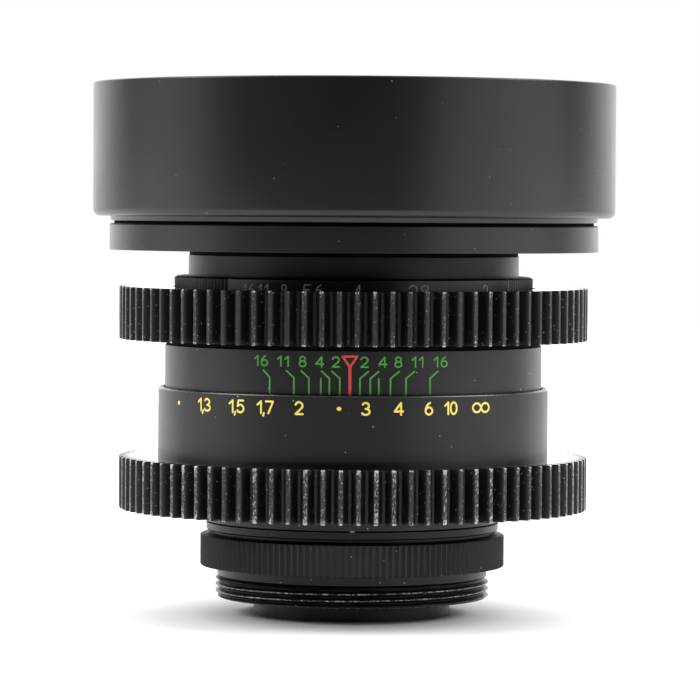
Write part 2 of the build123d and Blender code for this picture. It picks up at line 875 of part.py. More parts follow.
# Iris blades: crescents of blackened steel, stacked a step apart, each with a pivot pin
# below and a drive pin above
pivot = Vector(blade_pivot_radius, 0, 0)
pin_offset = Vector(drive_pin_distance, 0, 0).rotate(Axis.Z, drive_pin_angle)
drive = pivot + pin_offset
crescent_radius = blade_inner_radius + blade_width / 2
blade_stack = blade_thickness + (blade_count - 1) * blade_step
rotor_bottom = housing_top + fit + blade_stack + iris_play
for number in range(blade_count):
    level = housing_top + fit + number * blade_step
    with BuildPart() as iris_blade:
        with BuildSketch(Plane.XY.offset(level)):
            with BuildLine(mode=Mode.PRIVATE) as middle_line:
                CenterArc((0, 0), crescent_radius, blade_start, blade_sweep)
            SlotArc(middle_line.edge(), blade_width)
            with Locations((pivot + drive) / 2):
                SlotCenterToCenter(drive_pin_distance, 2 * blade_lobe, rotation=drive_pin_angle)
            with BuildLine():
                Polyline(
                    (crescent_radius, -blade_lobe),
                    (pivot.X, -blade_lobe),
                    (drive.X, drive.Y + blade_lobe),
                    (crescent_radius, drive.Y + blade_lobe),
                    close=True,
                )
            make_face()
        extrude(amount=blade_thickness)
        with Locations((pivot.X, pivot.Y, level)):
            Cylinder(
                blade_pin_d / 2,
                level - housing_top + blade_pin_length,
                align=(Align.CENTER, Align.CENTER, Align.MAX),
            )
        with Locations((drive.X, drive.Y, level)):
            Cylinder(
                blade_pin_d / 2,
                rotor_bottom - level + blade_pin_length,
                align=(Align.CENTER, Align.CENTER, Align.MIN),
            )
    turned = iris_blade.part.rotate(Axis(pivot, (0, 0, 1)), blade_turn_at_f4)
    blade = turned.rotate(Axis.Z, pivot_angles[number])
    blade.label = f"iris_blade_{number + 1}"
    export_step(blade, f"parts/iris_blade_{number + 1}.step")

# Iris rotor: a long sleeve with a slotted plate. Each slot is the path of a drive pin, so
# the blades turn at a constant share of the ring's turn
rotor_top = rotor_bottom + rotor_thickness
rotor_sleeve_top = cup_ledge - group_gap


def slot_path(turn):
    """Where the rotor carries the first drive pin's slot after this turn of the ring."""
    swung = pin_offset.rotate(Axis.Z, blade_turn_at_f4 + blade_ratio * turn)
    return (pivot + swung).rotate(Axis.Z, -turn)


slot_ends = (-turn_to_open, (turn_to_closed - turn_to_open) / 2, turn_to_closed)
with BuildPart() as iris_rotor:
    revolve(
        section(
            (housing_opening, rotor_bottom),
            (rotor_outer, rotor_bottom),
            (rotor_outer, rotor_sleeve_top),
            (rotor_inner, rotor_sleeve_top),
            (rotor_inner, rotor_top),
            (housing_opening, rotor_top),
        ),
        axis=Axis.Z,
    )
    with BuildSketch(Plane.XY.offset(rotor_bottom)):
        with BuildLine(mode=Mode.PRIVATE) as path:
            ThreePointArc(*[slot_path(turn) for turn in slot_ends])
        with PolarLocations(0, blade_count):
            SlotArc(path.edge(), blade_pin_d + 2 * slot_clearance)
    extrude(amount=rotor_thickness, mode=Mode.SUBTRACT)
    with Locations(facing(link_angle, 0, link_height)):
        Cylinder(
            link_screw_d / 2 + seat,
            rotor_outer + slide,
            align=(Align.CENTER, Align.CENTER, Align.MIN),
            mode=Mode.SUBTRACT,
        )
write(iris_rotor, "iris_rotor")

# Front cell: the front group's tube, hung by its flange in the barrel's cup
front_seat = on_face(2, front_rim - glass_bevel)[1] - seat
front_rim_top = on_face(1, front_rim - glass_bevel)[1]
doublet_seat = on_face(5, front_concave_reach)[1] - seat
cell_bottom = rotor_top + pin_clearance
cell_flange_top = cup_ledge + cell_flange_height
with BuildPart() as front_cell:
    revolve(
        section(
            (front_concave_reach, cell_bottom),
            (cell_outer, cell_bottom),
            (cell_outer, cup_ledge),
            (cup_thin_inner - fit, cup_ledge),
            (cup_thin_inner - fit, cell_flange_top),
            (front_rim + seat, cell_flange_top),
            (front_rim + seat, front_seat),
            (doublet_rim + seat, front_seat),
            (doublet_rim + seat, doublet_seat),
            (front_concave_reach, doublet_seat),
        ),
        axis=Axis.Z,
    )
write(front_cell, "front_cell")

# Front element: the large convex-concave lens behind the name ring
with BuildPart() as front_element:
    revolve(
        glass_section(1, 2, front_rim, front_rim - glass_bevel, front_rim - glass_bevel),
        axis=Axis.Z,
    )
write(front_element, "front_element")

# Front doublet: a crown and a flint cemented together
with BuildPart() as front_doublet_crown:
    revolve(
        glass_section(3, 4, doublet_rim, doublet_rim - glass_bevel, doublet_rim - glass_bevel),
        axis=Axis.Z,
    )
write(front_doublet_crown, "front_doublet_crown")

with BuildPart() as front_doublet_flint:
    revolve(
        glass_section(4, 5, doublet_rim, doublet_rim - glass_bevel, front_concave_reach, cement),
        axis=Axis.Z,
    )
write(front_doublet_flint, "front_doublet_flint")

# Front spacer: keeps the front element and the doublet apart
spacer_outer = doublet_rim - seat
spacer_inner = spacer_outer - spacer_wall
with BuildPart() as front_spacer:
    revolve(
        section(
            (spacer_inner, on_face(3, spacer_inner)[1] + fit),
            (spacer_outer, on_face(3, doublet_rim - glass_bevel)[1] + fit),
            (spacer_outer, front_seat),
            (spacer_inner, front_seat),
        ),
        axis=Axis.Z,
    )
write(front_spacer, "front_spacer")

# Front retaining ring: threaded in the cell over the front element's edge
retaining_inner = front_rim - retaining_wall
with BuildPart() as front_retaining_ring:
    revolve(
        section(
            (retaining_inner, on_face(1, retaining_inner)[1] + fit),
            (front_rim - seat, front_rim_top + fit),
            (front_rim - seat, front_rim_top + front_retaining_height),
            (retaining_inner + slide, front_rim_top + front_retaining_height),
        ),
        axis=Axis.Z,
    )
write(front_retaining_ring, "front_retaining_ring")

# Name ring: the bare black bezel round the front glass, with two spanner notches
name_ring_top = cell_flange_top + name_ring_height
bezel_outer = cup_thin_inner - fit - spacer_wall
with BuildPart() as name_ring:
    revolve(
        section(
            (front_rim - slide, cell_flange_top),
            (cup_thin_inner - fit, cell_flange_top),
            (cup_thin_inner - fit, name_ring_top),
            (bezel_outer, name_ring_top),
            (front_rim - slide, cell_flange_top + group_gap),
        ),
        axis=Axis.Z,
    )
    with PolarLocations(bezel_outer, 2):
        with Locations((0, 0, name_ring_top)):
            Cylinder(small_screw_d / 2, 2 * small_screw_head, mode=Mode.SUBTRACT)
write(name_ring, "name_ring")

# Filter barrel: holds the two rings on the barrel and takes the filter thread
filter_thread_r = filter_thread_d / 2
filter_outer = filter_thread_r + filter_thread_wall
filter_bore_bottom = filter_top - step_male_length - slide
with BuildPart() as filter_barrel:
    revolve(
        section(
            (bezel_outer, name_ring_top),
            (cup_thin_inner - fit, name_ring_top),
            (cup_thin_inner - fit, filter_flange_bottom),
            (seat_outer + filter_flange, filter_flange_bottom),
            (seat_outer + filter_flange, filter_flange_top),
            (filter_outer, filter_flange_top),
            (filter_outer, filter_top),
            (filter_thread_r + seat, filter_top),
            (filter_thread_r + seat, filter_bore_bottom),
            (bezel_outer, filter_flange_bottom),
        ),
        axis=Axis.Z,
    )
write(filter_barrel, "filter_barrel")

# Step-up ring: from the filter thread to the front ring's thread
step_thread_r = step_thread_d / 2
step_outer = step_thread_r + step_rim_wall
with BuildPart() as step_up_ring:
    revolve(
        section(
            (filter_thread_r - step_male_wall, filter_top - step_male_length),
            (filter_thread_r, filter_top - step_male_length),
            (filter_thread_r, filter_top),
            (step_outer - ring_edge_chamfer, filter_top),
            (step_outer, filter_top + ring_edge_chamfer),
            (step_outer, step_top - ring_edge_chamfer),
            (step_outer - ring_edge_chamfer, step_top),
            (step_thread_r + seat, step_top),
            (step_thread_r + seat, filter_top + step_plate),
            (filter_thread_r - step_male_wall, filter_top + step_plate),
        ),
        axis=Axis.Z,
    )
write(step_up_ring, "step_up_ring")

# Front ring: matte-box diameter outside, filter thread at the mouth, and ridges inside
# that trap stray light
front_outer = front_ring_d / 2
collar_outer = step_outer - front_collar_setback
front_male_bottom = step_top - front_male_length
front_bore = step_thread_r - front_male_wall
mouth_r = front_outer - front_thread_wall
mouth_bottom = front_top - front_thread_length
ridge_outer = mouth_r - ridge_depth
ridge_inner = ridge_outer - ridge_depth
ridge_bottom = front_collar_top + front_floor_length
ridge_pitch = (mouth_bottom - ridge_bottom) / ridge_count
ridge_points = []
for ridge in range(ridge_count):
    foot = mouth_bottom - ridge * ridge_pitch
    ridge_points.append((ridge_inner, foot))
    ridge_points.append((ridge_outer, foot - ridge_pitch))
with BuildPart() as front_ring:
    revolve(
        section(
            (front_bore, front_male_bottom),
            (step_thread_r, front_male_bottom),
            (step_thread_r, step_top),
            (collar_outer - front_collar_taper, step_top),
            (collar_outer, front_collar_top),
            (front_outer, front_collar_top),
            (front_outer, front_top),
            (mouth_r, front_top),
            (mouth_r, mouth_bottom),
            *ridge_points,
            (front_bore, ridge_bottom),
        ),
        axis=Axis.Z,
    )
    for height, roundness in ((front_collar_top, front_fillet), (front_top, front_edge_fillet)):
        level = front_ring.edges().filter_by(GeomType.CIRCLE)
        level = level.filter_by_position(Axis.Z, height - seat, height + seat)
        fillet(level.filter_by(lambda edge: abs(edge.radius - front_outer) < seat), roundness)
write(front_ring, "front_ring")

# Rear cell: the tube that the lens stands on, with a threaded flange inside the barrel
rear_cell_r = rear_rim + seat + rear_cell_wall
rear_lip_bottom = on_face(6, rear_concave_reach)[1] + seat
rear_lip_top = rear_lip_bottom + rear_cell_lip
rear_flange_bottom = barrel_web_bottom - rear_cell_flange_height
with BuildPart() as rear_cell:
    revolve(
        section(
            (rear_rim + seat, 0),
            (rear_cell_r, 0),
            (rear_cell_r, rear_flange_bottom),
            (barrel_inner - seat, rear_flange_bottom),
            (barrel_inner - seat, barrel_web_bottom),
            (cell_nose - seat, barrel_web_bottom),
            (cell_nose - seat, rear_lip_top),
            (rear_concave_reach, rear_lip_top),
            (rear_concave_reach, rear_lip_bottom),
            (rear_rim + seat, rear_lip_bottom),
        ),
        axis=Axis.Z,
    )
write(rear_cell, "rear_cell")

# Rear doublet: a flint and a crown cemented together
with BuildPart() as rear_doublet_flint:
    revolve(
        glass_section(6, 7, rear_rim, rear_concave_reach, rear_rim - glass_bevel),
        axis=Axis.Z,
    )
write(rear_doublet_flint, "rear_doublet_flint")

with BuildPart() as rear_doublet_crown:
    revolve(
        glass_section(7, 8, rear_rim, rear_rim - glass_bevel, rear_rim - glass_bevel, cement),
        axis=Axis.Z,
    )
write(rear_doublet_crown, "rear_doublet_crown")

# Rear spacer: keeps the rear doublet and the last element apart
rear_spacer_outer = rear_rim - seat
rear_spacer_inner = rear_spacer_outer - spacer_wall
with BuildPart() as rear_spacer:
    revolve(
        section(
            (rear_spacer_inner, on_face(9, rear_spacer_inner)[1] + fit),
            (rear_spacer_outer, on_face(9, rear_spacer_inner)[1] + fit),
            (rear_spacer_outer, on_face(8, rear_rim - glass_bevel)[1] - fit),
            (rear_spacer_inner, on_face(8, rear_spacer_inner)[1] - fit),
        ),
        axis=Axis.Z,
    )
write(rear_spacer, "rear_spacer")

# Rear element: the last, biconvex lens
with BuildPart() as rear_element:
    revolve(
        glass_section(9, 10, rear_rim, rear_rim - glass_bevel, rear_rim - glass_bevel),
        axis=Axis.Z,
    )
write(rear_element, "rear_element")

# Rear retaining ring: threaded in the cell's end below the last element
rear_edge = on_face(10, rear_rim - glass_bevel)[1]
rear_ring_inner = rear_rim - retaining_wall
with BuildPart() as rear_retaining_ring:
    revolve(
        section(
            (rear_ring_inner, rear_edge - rear_retaining_height),
            (rear_rim - seat, rear_edge - rear_retaining_height),
            (rear_rim - seat, rear_edge - fit),
            (rear_ring_inner, on_face(10, rear_ring_inner)[1] - fit),
        ),
        axis=Axis.Z,
    )
write(rear_retaining_ring, "rear_retaining_ring")
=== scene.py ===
import bmesh
import bpy
import numpy as np
from mathutils import Matrix, Vector


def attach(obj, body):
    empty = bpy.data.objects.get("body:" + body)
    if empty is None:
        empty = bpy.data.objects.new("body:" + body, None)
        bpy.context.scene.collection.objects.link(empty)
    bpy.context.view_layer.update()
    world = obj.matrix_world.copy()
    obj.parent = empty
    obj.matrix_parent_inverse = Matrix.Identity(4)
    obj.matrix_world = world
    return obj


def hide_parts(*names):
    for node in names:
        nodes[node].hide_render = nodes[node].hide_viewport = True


# The lens stands on its rear end with its front up and its index mark towards -Y. The
# script works in the millimetres of the drawing and turns them to metres in the meshes.
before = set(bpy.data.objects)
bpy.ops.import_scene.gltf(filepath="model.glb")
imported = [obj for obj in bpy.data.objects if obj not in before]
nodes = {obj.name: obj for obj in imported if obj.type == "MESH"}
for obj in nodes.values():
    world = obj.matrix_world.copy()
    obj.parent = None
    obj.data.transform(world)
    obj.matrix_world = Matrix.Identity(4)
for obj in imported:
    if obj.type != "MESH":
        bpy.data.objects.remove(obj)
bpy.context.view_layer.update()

# Camera: a 200 mm lens 0.6 m in front of the object, a little above its middle and
# tilted two degrees down, as the ellipses of the rings in the photograph show.
camera_place = (0.0, -0.60858, 0.06168)
pan, tilt, roll = np.radians([0.0476, 88.0, 0.372])
camera_data = bpy.data.cameras.new("camera")
camera_data.sensor_width = 36.0
camera_data.lens = 203.84
camera = bpy.data.objects.new("camera", camera_data)
bpy.context.scene.collection.objects.link(camera)
camera.matrix_world = (
    Matrix.Translation(camera_place)
    @ Matrix.Rotation(pan, 4, "Z")
    @ Matrix.Rotation(tilt, 4, "X")
    @ Matrix.Rotation(roll, 4, "Z")
)
bpy.context.scene.camera = camera
bpy.context.scene.view_settings.view_transform = "Standard"


# Table and studio: a sheet of matt white paper that ends 0.3 m in front of the lens, white
# walls behind and above it, a dark room behind the camera, and soft boxes round the lens.
def linear(code):
    """The linear colour of an sRGB hex code: each channel is decoded by the sRGB curve."""
    channel = np.array([int(code[i : i + 2], 16) for i in (1, 3, 5)]) / 255
    decoded = np.where(channel <= 0.04045, channel / 12.92, ((channel + 0.055) / 1.055) ** 2.4)
    return (*decoded.tolist(), 1.0)


def add_node(tree, kind, settings=None, links=None):
    """Adds a node: settings go to its options or its sockets, links join sockets to it."""
    node = tree.nodes.new(kind)
    for name, value in (settings or {}).items():
        if isinstance(name, str) and hasattr(node, name):
            setattr(node, name, value)
        else:
            node.inputs[name].default_value = value
    for name, source in (links or {}).items():
        tree.links.new(source, node.inputs[name])
    return node


def new_material(name):
    """An empty material: the material, its node tree and its object coordinates."""
    material = bpy.data.materials.new(name)
    material.use_nodes = True
    material.node_tree.nodes.clear()
    place = add_node(material.node_tree, "ShaderNodeTexCoord").outputs["Object"]
    return material, material.node_tree, place


def show(tree, shader):
    """Sends a finished shader to the material's output."""
    add_node(tree, "ShaderNodeOutputMaterial", links={"Surface": shader.outputs["BSDF"]})


# White paper: rag fibres, no gloss; the fibre mesh is 0.4 mm and only just shows.
white_paper, tree, place = new_material("matt_white_paper")
fibres = add_node(tree, "ShaderNodeTexNoise", {"Scale": 2500.0, "Detail": 2.0}, {"Vector": place})
bump = add_node(
    tree,
    "ShaderNodeBump",
    {"Strength": 0.2, "Distance": 0.00005},
    {"Height": fibres.outputs["Fac"]},
)
shader = add_node(
    tree,
    "ShaderNodeBsdfPrincipled",
    {"Base Color": linear("#f6f6f6"), "Roughness": 0.95, "Specular IOR Level": 0.2},
    {"Normal": bump.outputs["Normal"]},
)
show(tree, shader)
paper_front = -0.3
paper_reach = 1.6
paper_corners = [
    (-paper_reach, paper_front, 0.0),
    (paper_reach, paper_front, 0.0),
    (paper_reach, paper_reach, 0.0),
    (-paper_reach, paper_reach, 0.0),
]
paper_mesh = bpy.data.meshes.new("table_paper")
paper_mesh.from_pydata(paper_corners, [], [(0, 1, 2, 3)])
paper = bpy.data.objects.new("table_paper", paper_mesh)
bpy.context.scene.collection.objects.link(paper)
paper_mesh.materials.append(white_paper)

# The room as the lens mirrors it: 0.06 of white all round, up to 2.1 towards the back and
# 1.3 overhead. The camera sees plain white past the paper.
world = bpy.data.worlds.new("studio")
world.use_nodes = True
bpy.context.scene.world = world
tree = world.node_tree
tree.nodes.clear()
direction = add_node(tree, "ShaderNodeTexCoord")
split = add_node(
    tree,
    "ShaderNodeSeparateXYZ",
    links={"Vector": direction.outputs["Generated"]},
)
behind = add_node(
    tree,
    "ShaderNodeMapRange",
    {
        "interpolation_type": "SMOOTHSTEP",
        "From Min": 0.25,
        "From Max": 1.0,
        "To Min": 0.0,
        "To Max": 2.1,
    },
    {"Value": split.outputs["Y"]},
)
above = add_node(
    tree,
    "ShaderNodeMapRange",
    {
        "interpolation_type": "SMOOTHSTEP",
        "From Min": 0.3,
        "From Max": 0.95,
        "To Min": 0.0,
        "To Max": 1.3,
    },
    {"Value": split.outputs["Z"]},
)
brighter = add_node(
    tree,
    "ShaderNodeMath",
    {"operation": "MAXIMUM"},
    {0: behind.outputs["Result"], 1: above.outputs["Result"]},
)
room = add_node(
    tree,
    "ShaderNodeMath",
    {"operation": "ADD", 1: 0.06},
    {0: brighter.outputs["Value"]},
)
ray = add_node(tree, "ShaderNodeLightPath")
seen = add_node(
    tree,
    "ShaderNodeMix",
    {"data_type": "FLOAT", 3: 1.0},
    {0: ray.outputs["Is Camera Ray"], 2: room.outputs["Value"]},
)
walls = add_node(
    tree,
    "ShaderNodeBackground",
    {"Color": linear("#ffffff")},
    {"Strength": seen.outputs[0]},
)
add_node(tree, "ShaderNodeOutputWorld", links={"Surface": walls.outputs["Background"]})

# Soft boxes: where each hangs, what it faces, its width and height, all in metres, and its
# power in watts. Two stand low at the sides, two hang high, and one hangs over the paper
# behind the lens.
soft_boxes = {
    "soft_box_left": ((-0.60, -0.06, 0.06), (0.0, 0.0, 0.045), (0.42, 0.32), 0.40),
    "soft_box_right": ((0.55, -0.24, 0.06), (0.0, 0.0, 0.045), (0.80, 0.32), 0.88),
    "soft_box_high_left": ((-0.55, -0.10, 0.50), (0.0, 0.0, 0.045), (0.45, 0.45), 3.5),
    "soft_box_high_right": ((0.55, -0.10, 0.50), (0.0, 0.0, 0.045), (0.45, 0.45), 3.4),
    "soft_box_background": ((0.0, 0.95, 0.70), (0.0, 0.951, 0.0), (1.60, 0.80), 7.0),
}
for name, (place, aim, size, power) in soft_boxes.items():
    lamp = bpy.data.lights.new(name, "AREA")
    lamp.shape = "RECTANGLE"
    lamp.size, lamp.size_y = size
    lamp.energy = power
    box = bpy.data.objects.new(name, lamp)
    bpy.context.scene.collection.objects.link(box)
    away = Vector(place) - Vector(aim)
    box.matrix_world = Matrix.Translation(place) @ away.to_track_quat("Z", "Y").to_matrix().to_4x4()


# Front ring: a wide aluminium ring turned on a lathe, bead blasted and anodised satin
# black. It screws into the step-up ring; a 77 mm filter thread is cut in its mouth.
def grid_mesh(name, points, closed=True, sharp=30.0):
    """A mesh over a grid of points, in metres, whose columns run round and close.

    Face (i, j) takes the points (i, j), (i, j + 1), (i + 1, j + 1) and (i + 1, j); with
    closed the last row also joins the first. Edges that turn by more than sharp stay sharp.
    """
    rows, columns = points.shape[:2]
    row = np.arange(rows if closed else rows - 1)[:, None]
    column = np.arange(columns)[None, :]
    next_row = (row + 1) % rows
    next_column = (column + 1) % columns
    corners = np.broadcast_arrays(
        row * columns + column,
        row * columns + next_column,
        next_row * columns + next_column,
        next_row * columns + column,
    )
    faces = np.stack(corners, axis=-1).reshape(-1, 4)
    mesh = bpy.data.meshes.new(name)
    mesh.from_pydata(points.reshape(-1, 3).tolist(), [], faces.tolist())
    mesh.shade_smooth()
    mesh.set_sharp_from_angle(angle=np.radians(sharp))
    return mesh


def around_axis(radius, angle, height):
    """Points of a turned surface, in metres: x is radius times the sine of the angle from
    -Y, y is minus radius times its cosine, and z is the height, all from millimetres."""
    points = np.broadcast_arrays(radius * np.sin(angle), -radius * np.cos(angle), height)
    return np.stack(points, axis=-1) * 0.001


def add_piece(mesh, material, body, slot, *stands_for):
    """Shows a mesh as a piece, with its material and its body; slot, the slot of its finish, is not
    used.
    """
    piece = bpy.data.objects.new(mesh.name, mesh)
    bpy.context.scene.collection.objects.link(piece)
    mesh.materials.append(material)
    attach(piece, body)
    if stands_for:
        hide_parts(*stands_for)


def dusty(tree, place, base, dust, cells, size):
    """A base colour with grains of dust on it: one grain in each cell of a cell pattern with
    this many cells per metre, where the cell's middle is nearer than size times a cell."""
    grains = add_node(tree, "ShaderNodeTexVoronoi", {"Scale": cells}, {"Vector": place})
    near = add_node(
        tree,
        "ShaderNodeMapRange",
        {"From Min": size, "From Max": size * 0.6, "To Min": 0.0, "To Max": 1.0},
        {"Value": grains.outputs["Distance"]},
    )
    return add_node(
        tree,
        "ShaderNodeMix",
        {"data_type": "RGBA", 6: linear(base), 7: linear(dust)},
        {0: near.outputs["Result"]},
    ).outputs[2]


def paint_over(material, *names):
    """Gives each named node of the drawing its finish."""
    for name in names:
        nodes[name].data.materials.clear()
        nodes[name].data.materials.append(material)


# Blasted, black anodised aluminium: a hard clear oxide over a dyed one, so it is nearly
# black from the front and mirrors the walls at a low angle; the blasting gives 0.1 mm grain.
blasted_black, tree, place = new_material("bead_blasted_black_anodised_aluminium")
grain = add_node(tree, "ShaderNodeTexNoise", {"Scale": 9000.0, "Detail": 3.0}, {"Vector": place})
cloud = add_node(tree, "ShaderNodeTexNoise", {"Scale": 120.0, "Detail": 2.0}, {"Vector": place})
rough = add_node(
    tree,
    "ShaderNodeMapRange",
    {"To Min": 0.30, "To Max": 0.38},
    {"Value": cloud.outputs["Fac"]},
)
bump = add_node(
    tree,
    "ShaderNodeBump",
    {"Strength": 0.35, "Distance": 0.00001},
    {"Height": grain.outputs["Fac"]},
)
shader = add_node(
    tree,
    "ShaderNodeBsdfPrincipled",
    {"IOR": 1.5},
    {
        "Base Color": dusty(tree, place, "#060707", "#b5b5b2", 520.0, 0.038),
        "Roughness": rough.outputs["Result"],
        "Normal": bump.outputs["Normal"],
    },
)
show(tree, shader)

# The ring itself, with the 77 mm filter thread of the mouth, 0.75 mm pitch and 0.4 mm deep,
# and the ridges under it that trap stray light.
ring_angle = np.linspace(0, 2 * np.pi, 361)[:-1]
front_r = 40.0
front_top = 81.2
rim_round = 0.3
foot_round = 1.15
mouth_r = 38.5
mouth_pitch = 0.75
mouth_depth = 0.4
mouth_top = 80.9
mouth_foot = 77.3
mouth_height = np.linspace(mouth_top, mouth_foot, 50)[:, None]
mouth_turns = np.abs(2 * ((mouth_height / mouth_pitch - ring_angle / (2 * np.pi)) % 1) - 1)
mouth_fade = np.clip(np.minimum(mouth_top - mouth_height, mouth_height - mouth_foot) / 0.35, 0, 1)
mouth_radius = mouth_r - mouth_depth * np.clip(1.3 * mouth_turns - 0.15, 0, 1) * mouth_fade
bend = np.radians(np.linspace(0, 90, 9))
outside = np.concatenate(
    [
        [(34.4, 57.6), (36.0, 57.6), (36.0, 59.75), (36.3, 59.75), (36.3, 60.1)],
        [(37.2, 60.14), (37.28, 60.45), (37.36, 60.83)],
        (front_r - foot_round, 61.98) + foot_round * np.stack([np.sin(bend), -np.cos(bend)], axis=-1),
        (front_r, front_top) + rim_round * np.stack([np.cos(bend) - 1, np.sin(bend) - 1], axis=-1),
        [(mouth_r, front_top)],
    ]
)
ridge_crest = 37.1
ridge_root = 37.8
ridge_feet = np.linspace(77.2, 64.43, 10)
ridges = np.stack([np.tile([ridge_crest, ridge_root], 9), np.repeat(ridge_feet, 2)[1:-1]], axis=-1)
inside = np.concatenate([[(mouth_r, 77.2), (ridge_crest, 77.2)], ridges[1:], [(34.4, 64.43)]])
front_points = np.concatenate(
    [
        around_axis(outside[:, :1], ring_angle, outside[:, 1:]),
        around_axis(mouth_radius, ring_angle, mouth_height),
        around_axis(inside[:, :1], ring_angle, inside[:, 1:]),
    ]
)
add_piece(
    grid_mesh("front_ring_with_filter_thread", front_points),
    blasted_black,
    "optics",
    "front_ring_black",
    "front_ring",
)

# Depth ring, focus ring and its sleeve: turned from aluminium bar and anodised black with
# the lathe's marks left on, so they shine a little more.
turned_black, tree, place = new_material("turned_black_anodised_aluminium")
lines = add_node(
    tree,
    "ShaderNodeMapping",
    {"Scale": (0.02, 0.02, 1.0)},
    {"Vector": place},
)
feed = add_node(
    tree,
    "ShaderNodeTexNoise",
    {"Scale": 6000.0, "Detail": 2.0},
    {"Vector": lines.outputs["Vector"]},
)
cloud = add_node(tree, "ShaderNodeTexNoise", {"Scale": 160.0, "Detail": 3.0}, {"Vector": place})
rough = add_node(
    tree,
    "ShaderNodeMapRange",
    {"To Min": 0.32, "To Max": 0.42},
    {"Value": cloud.outputs["Fac"]},
)
bump = add_node(
    tree,
    "ShaderNodeBump",
    {"Strength": 0.25, "Distance": 0.000006},
    {"Height": feed.outputs["Fac"]},
)
shader = add_node(
    tree,
    "ShaderNodeBsdfPrincipled",
    {"IOR": 1.43},
    {
        "Base Color": dusty(tree, place, "#070708", "#c4c4c0", 460.0, 0.048),
        "Roughness": rough.outputs["Result"],
        "Normal": bump.outputs["Normal"],
    },
)
show(tree, shader)
paint_over(turned_black, "depth_scale_ring", "focus_ring", "focus_sleeve")

# Filter barrel, aperture ring, name ring, fixed tube and rear cell: the same metal made darker and
# mirroring less, as painted shade for parts that sit under overhangs and near the table. Dust lies on
# it.
shade_darkened_black, tree, place = new_material("shade_darkened_black_anodised_aluminium")
grain = add_node(tree, "ShaderNodeTexNoise", {"Scale": 8000.0, "Detail": 3.0}, {"Vector": place})
cloud = add_node(tree, "ShaderNodeTexNoise", {"Scale": 200.0, "Detail": 3.0}, {"Vector": place})
rough = add_node(
    tree,
    "ShaderNodeMapRange",
    {"To Min": 0.34, "To Max": 0.46},
    {"Value": cloud.outputs["Fac"]},
)
bump = add_node(
    tree,
    "ShaderNodeBump",
    {"Strength": 0.3, "Distance": 0.00001},
    {"Height": grain.outputs["Fac"]},
)
shader = add_node(
    tree,
    "ShaderNodeBsdfPrincipled",
    {"IOR": 1.36},
    {
        "Base Color": dusty(tree, place, "#040404", "#b4b4b0", 420.0, 0.045),
        "Roughness": rough.outputs["Result"],
        "Normal": bump.outputs["Normal"],
    },
)
show(tree, shader)
paint_over(shade_darkened_black, "aperture_ring", "name_ring", "mount_barrel", "rear_cell")

# Step-up ring and filter barrel: turned aluminium rings, screwed into each other. A narrow
# groove under the step-up ring, where the barrel's thread runs out, holds a band of painted shade that
# keeps a dark line there.
# Each profile runs round its ring's section as (radius, height) points.
turned_rings = {
    "step_up_ring": (
        "turned_step_up_ring",
        blasted_black,
        "front_ring_black",
        [
            (23.2, 52.5),
            (24.5, 52.5),
            (24.5, 55.68),
            (37.42, 55.68),
            (37.46, 55.72),
            (37.46, 59.5),
            (37.26, 59.7),
            (36.02, 59.7),
            (36.02, 57.3),
            (23.2, 57.3),
        ],
    ),
    "filter_barrel": (
        "turned_filter_barrel",
        # the darker copy of the black: painted shade under the step-up ring's overhang
        shade_darkened_black,
        "barrel_black",
        [
            (23.55, 49.4),
            (23.55, 50.9),
            (26.2, 50.9),
            (26.2, 51.7),
            (25.32, 51.7),
            (25.32, 54.9),
            (24.95, 54.9),
            (24.95, 55.55),
            (24.52, 55.55),
            (24.52, 52.3),
            (22.45, 50.9),
            (22.45, 49.4),
        ],
    ),
}
for node, (name, material, slot, profile) in turned_rings.items():
    profile = np.array(profile)
    points = around_axis(profile[:, :1], ring_angle, profile[:, 1:])
    add_piece(grid_mesh(name, points), material, "optics", slot, node)

# Bands of painted shade under the front ring, under the step-up ring and above the depth ring:
# thin rings of a matt black that mirrors almost nothing, put where these joints fall into shade,
# so each stays a dark line between two rings. Each has its inner and outer radius, its foot and its
# top.
painted_shade_black, tree, place = new_material("painted_shade_matt_black")
grain = add_node(tree, "ShaderNodeTexNoise", {"Scale": 7000.0, "Detail": 3.0}, {"Vector": place})
rough = add_node(
    tree,
    "ShaderNodeMapRange",
    {"To Min": 0.7, "To Max": 0.9},
    {"Value": grain.outputs["Fac"]},
)
shader = add_node(
    tree,
    "ShaderNodeBsdfPrincipled",
    {"Base Color": linear("#030303"), "IOR": 1.14},
    {"Roughness": rough.outputs["Result"]},
)
show(tree, shader)
painted_shade_bands = {
    "painted_shade_under_front_ring": (36.2, 36.75, 59.72, 60.1),
    "painted_shade_under_step_up_ring": (24.85, 25.2, 54.85, 55.66),
    "painted_shade_over_depth_ring": (27.9, 28.72, 41.21, 41.84),
}
for name, (inner, outer, low, high) in painted_shade_bands.items():
    profile = np.array([(inner, low), (outer, low), (outer, high), (inner, high)])
    points = around_axis(profile[:, :1], ring_angle, profile[:, 1:])
    add_piece(grid_mesh(name, points), painted_shade_black, "optics", "barrel_black")

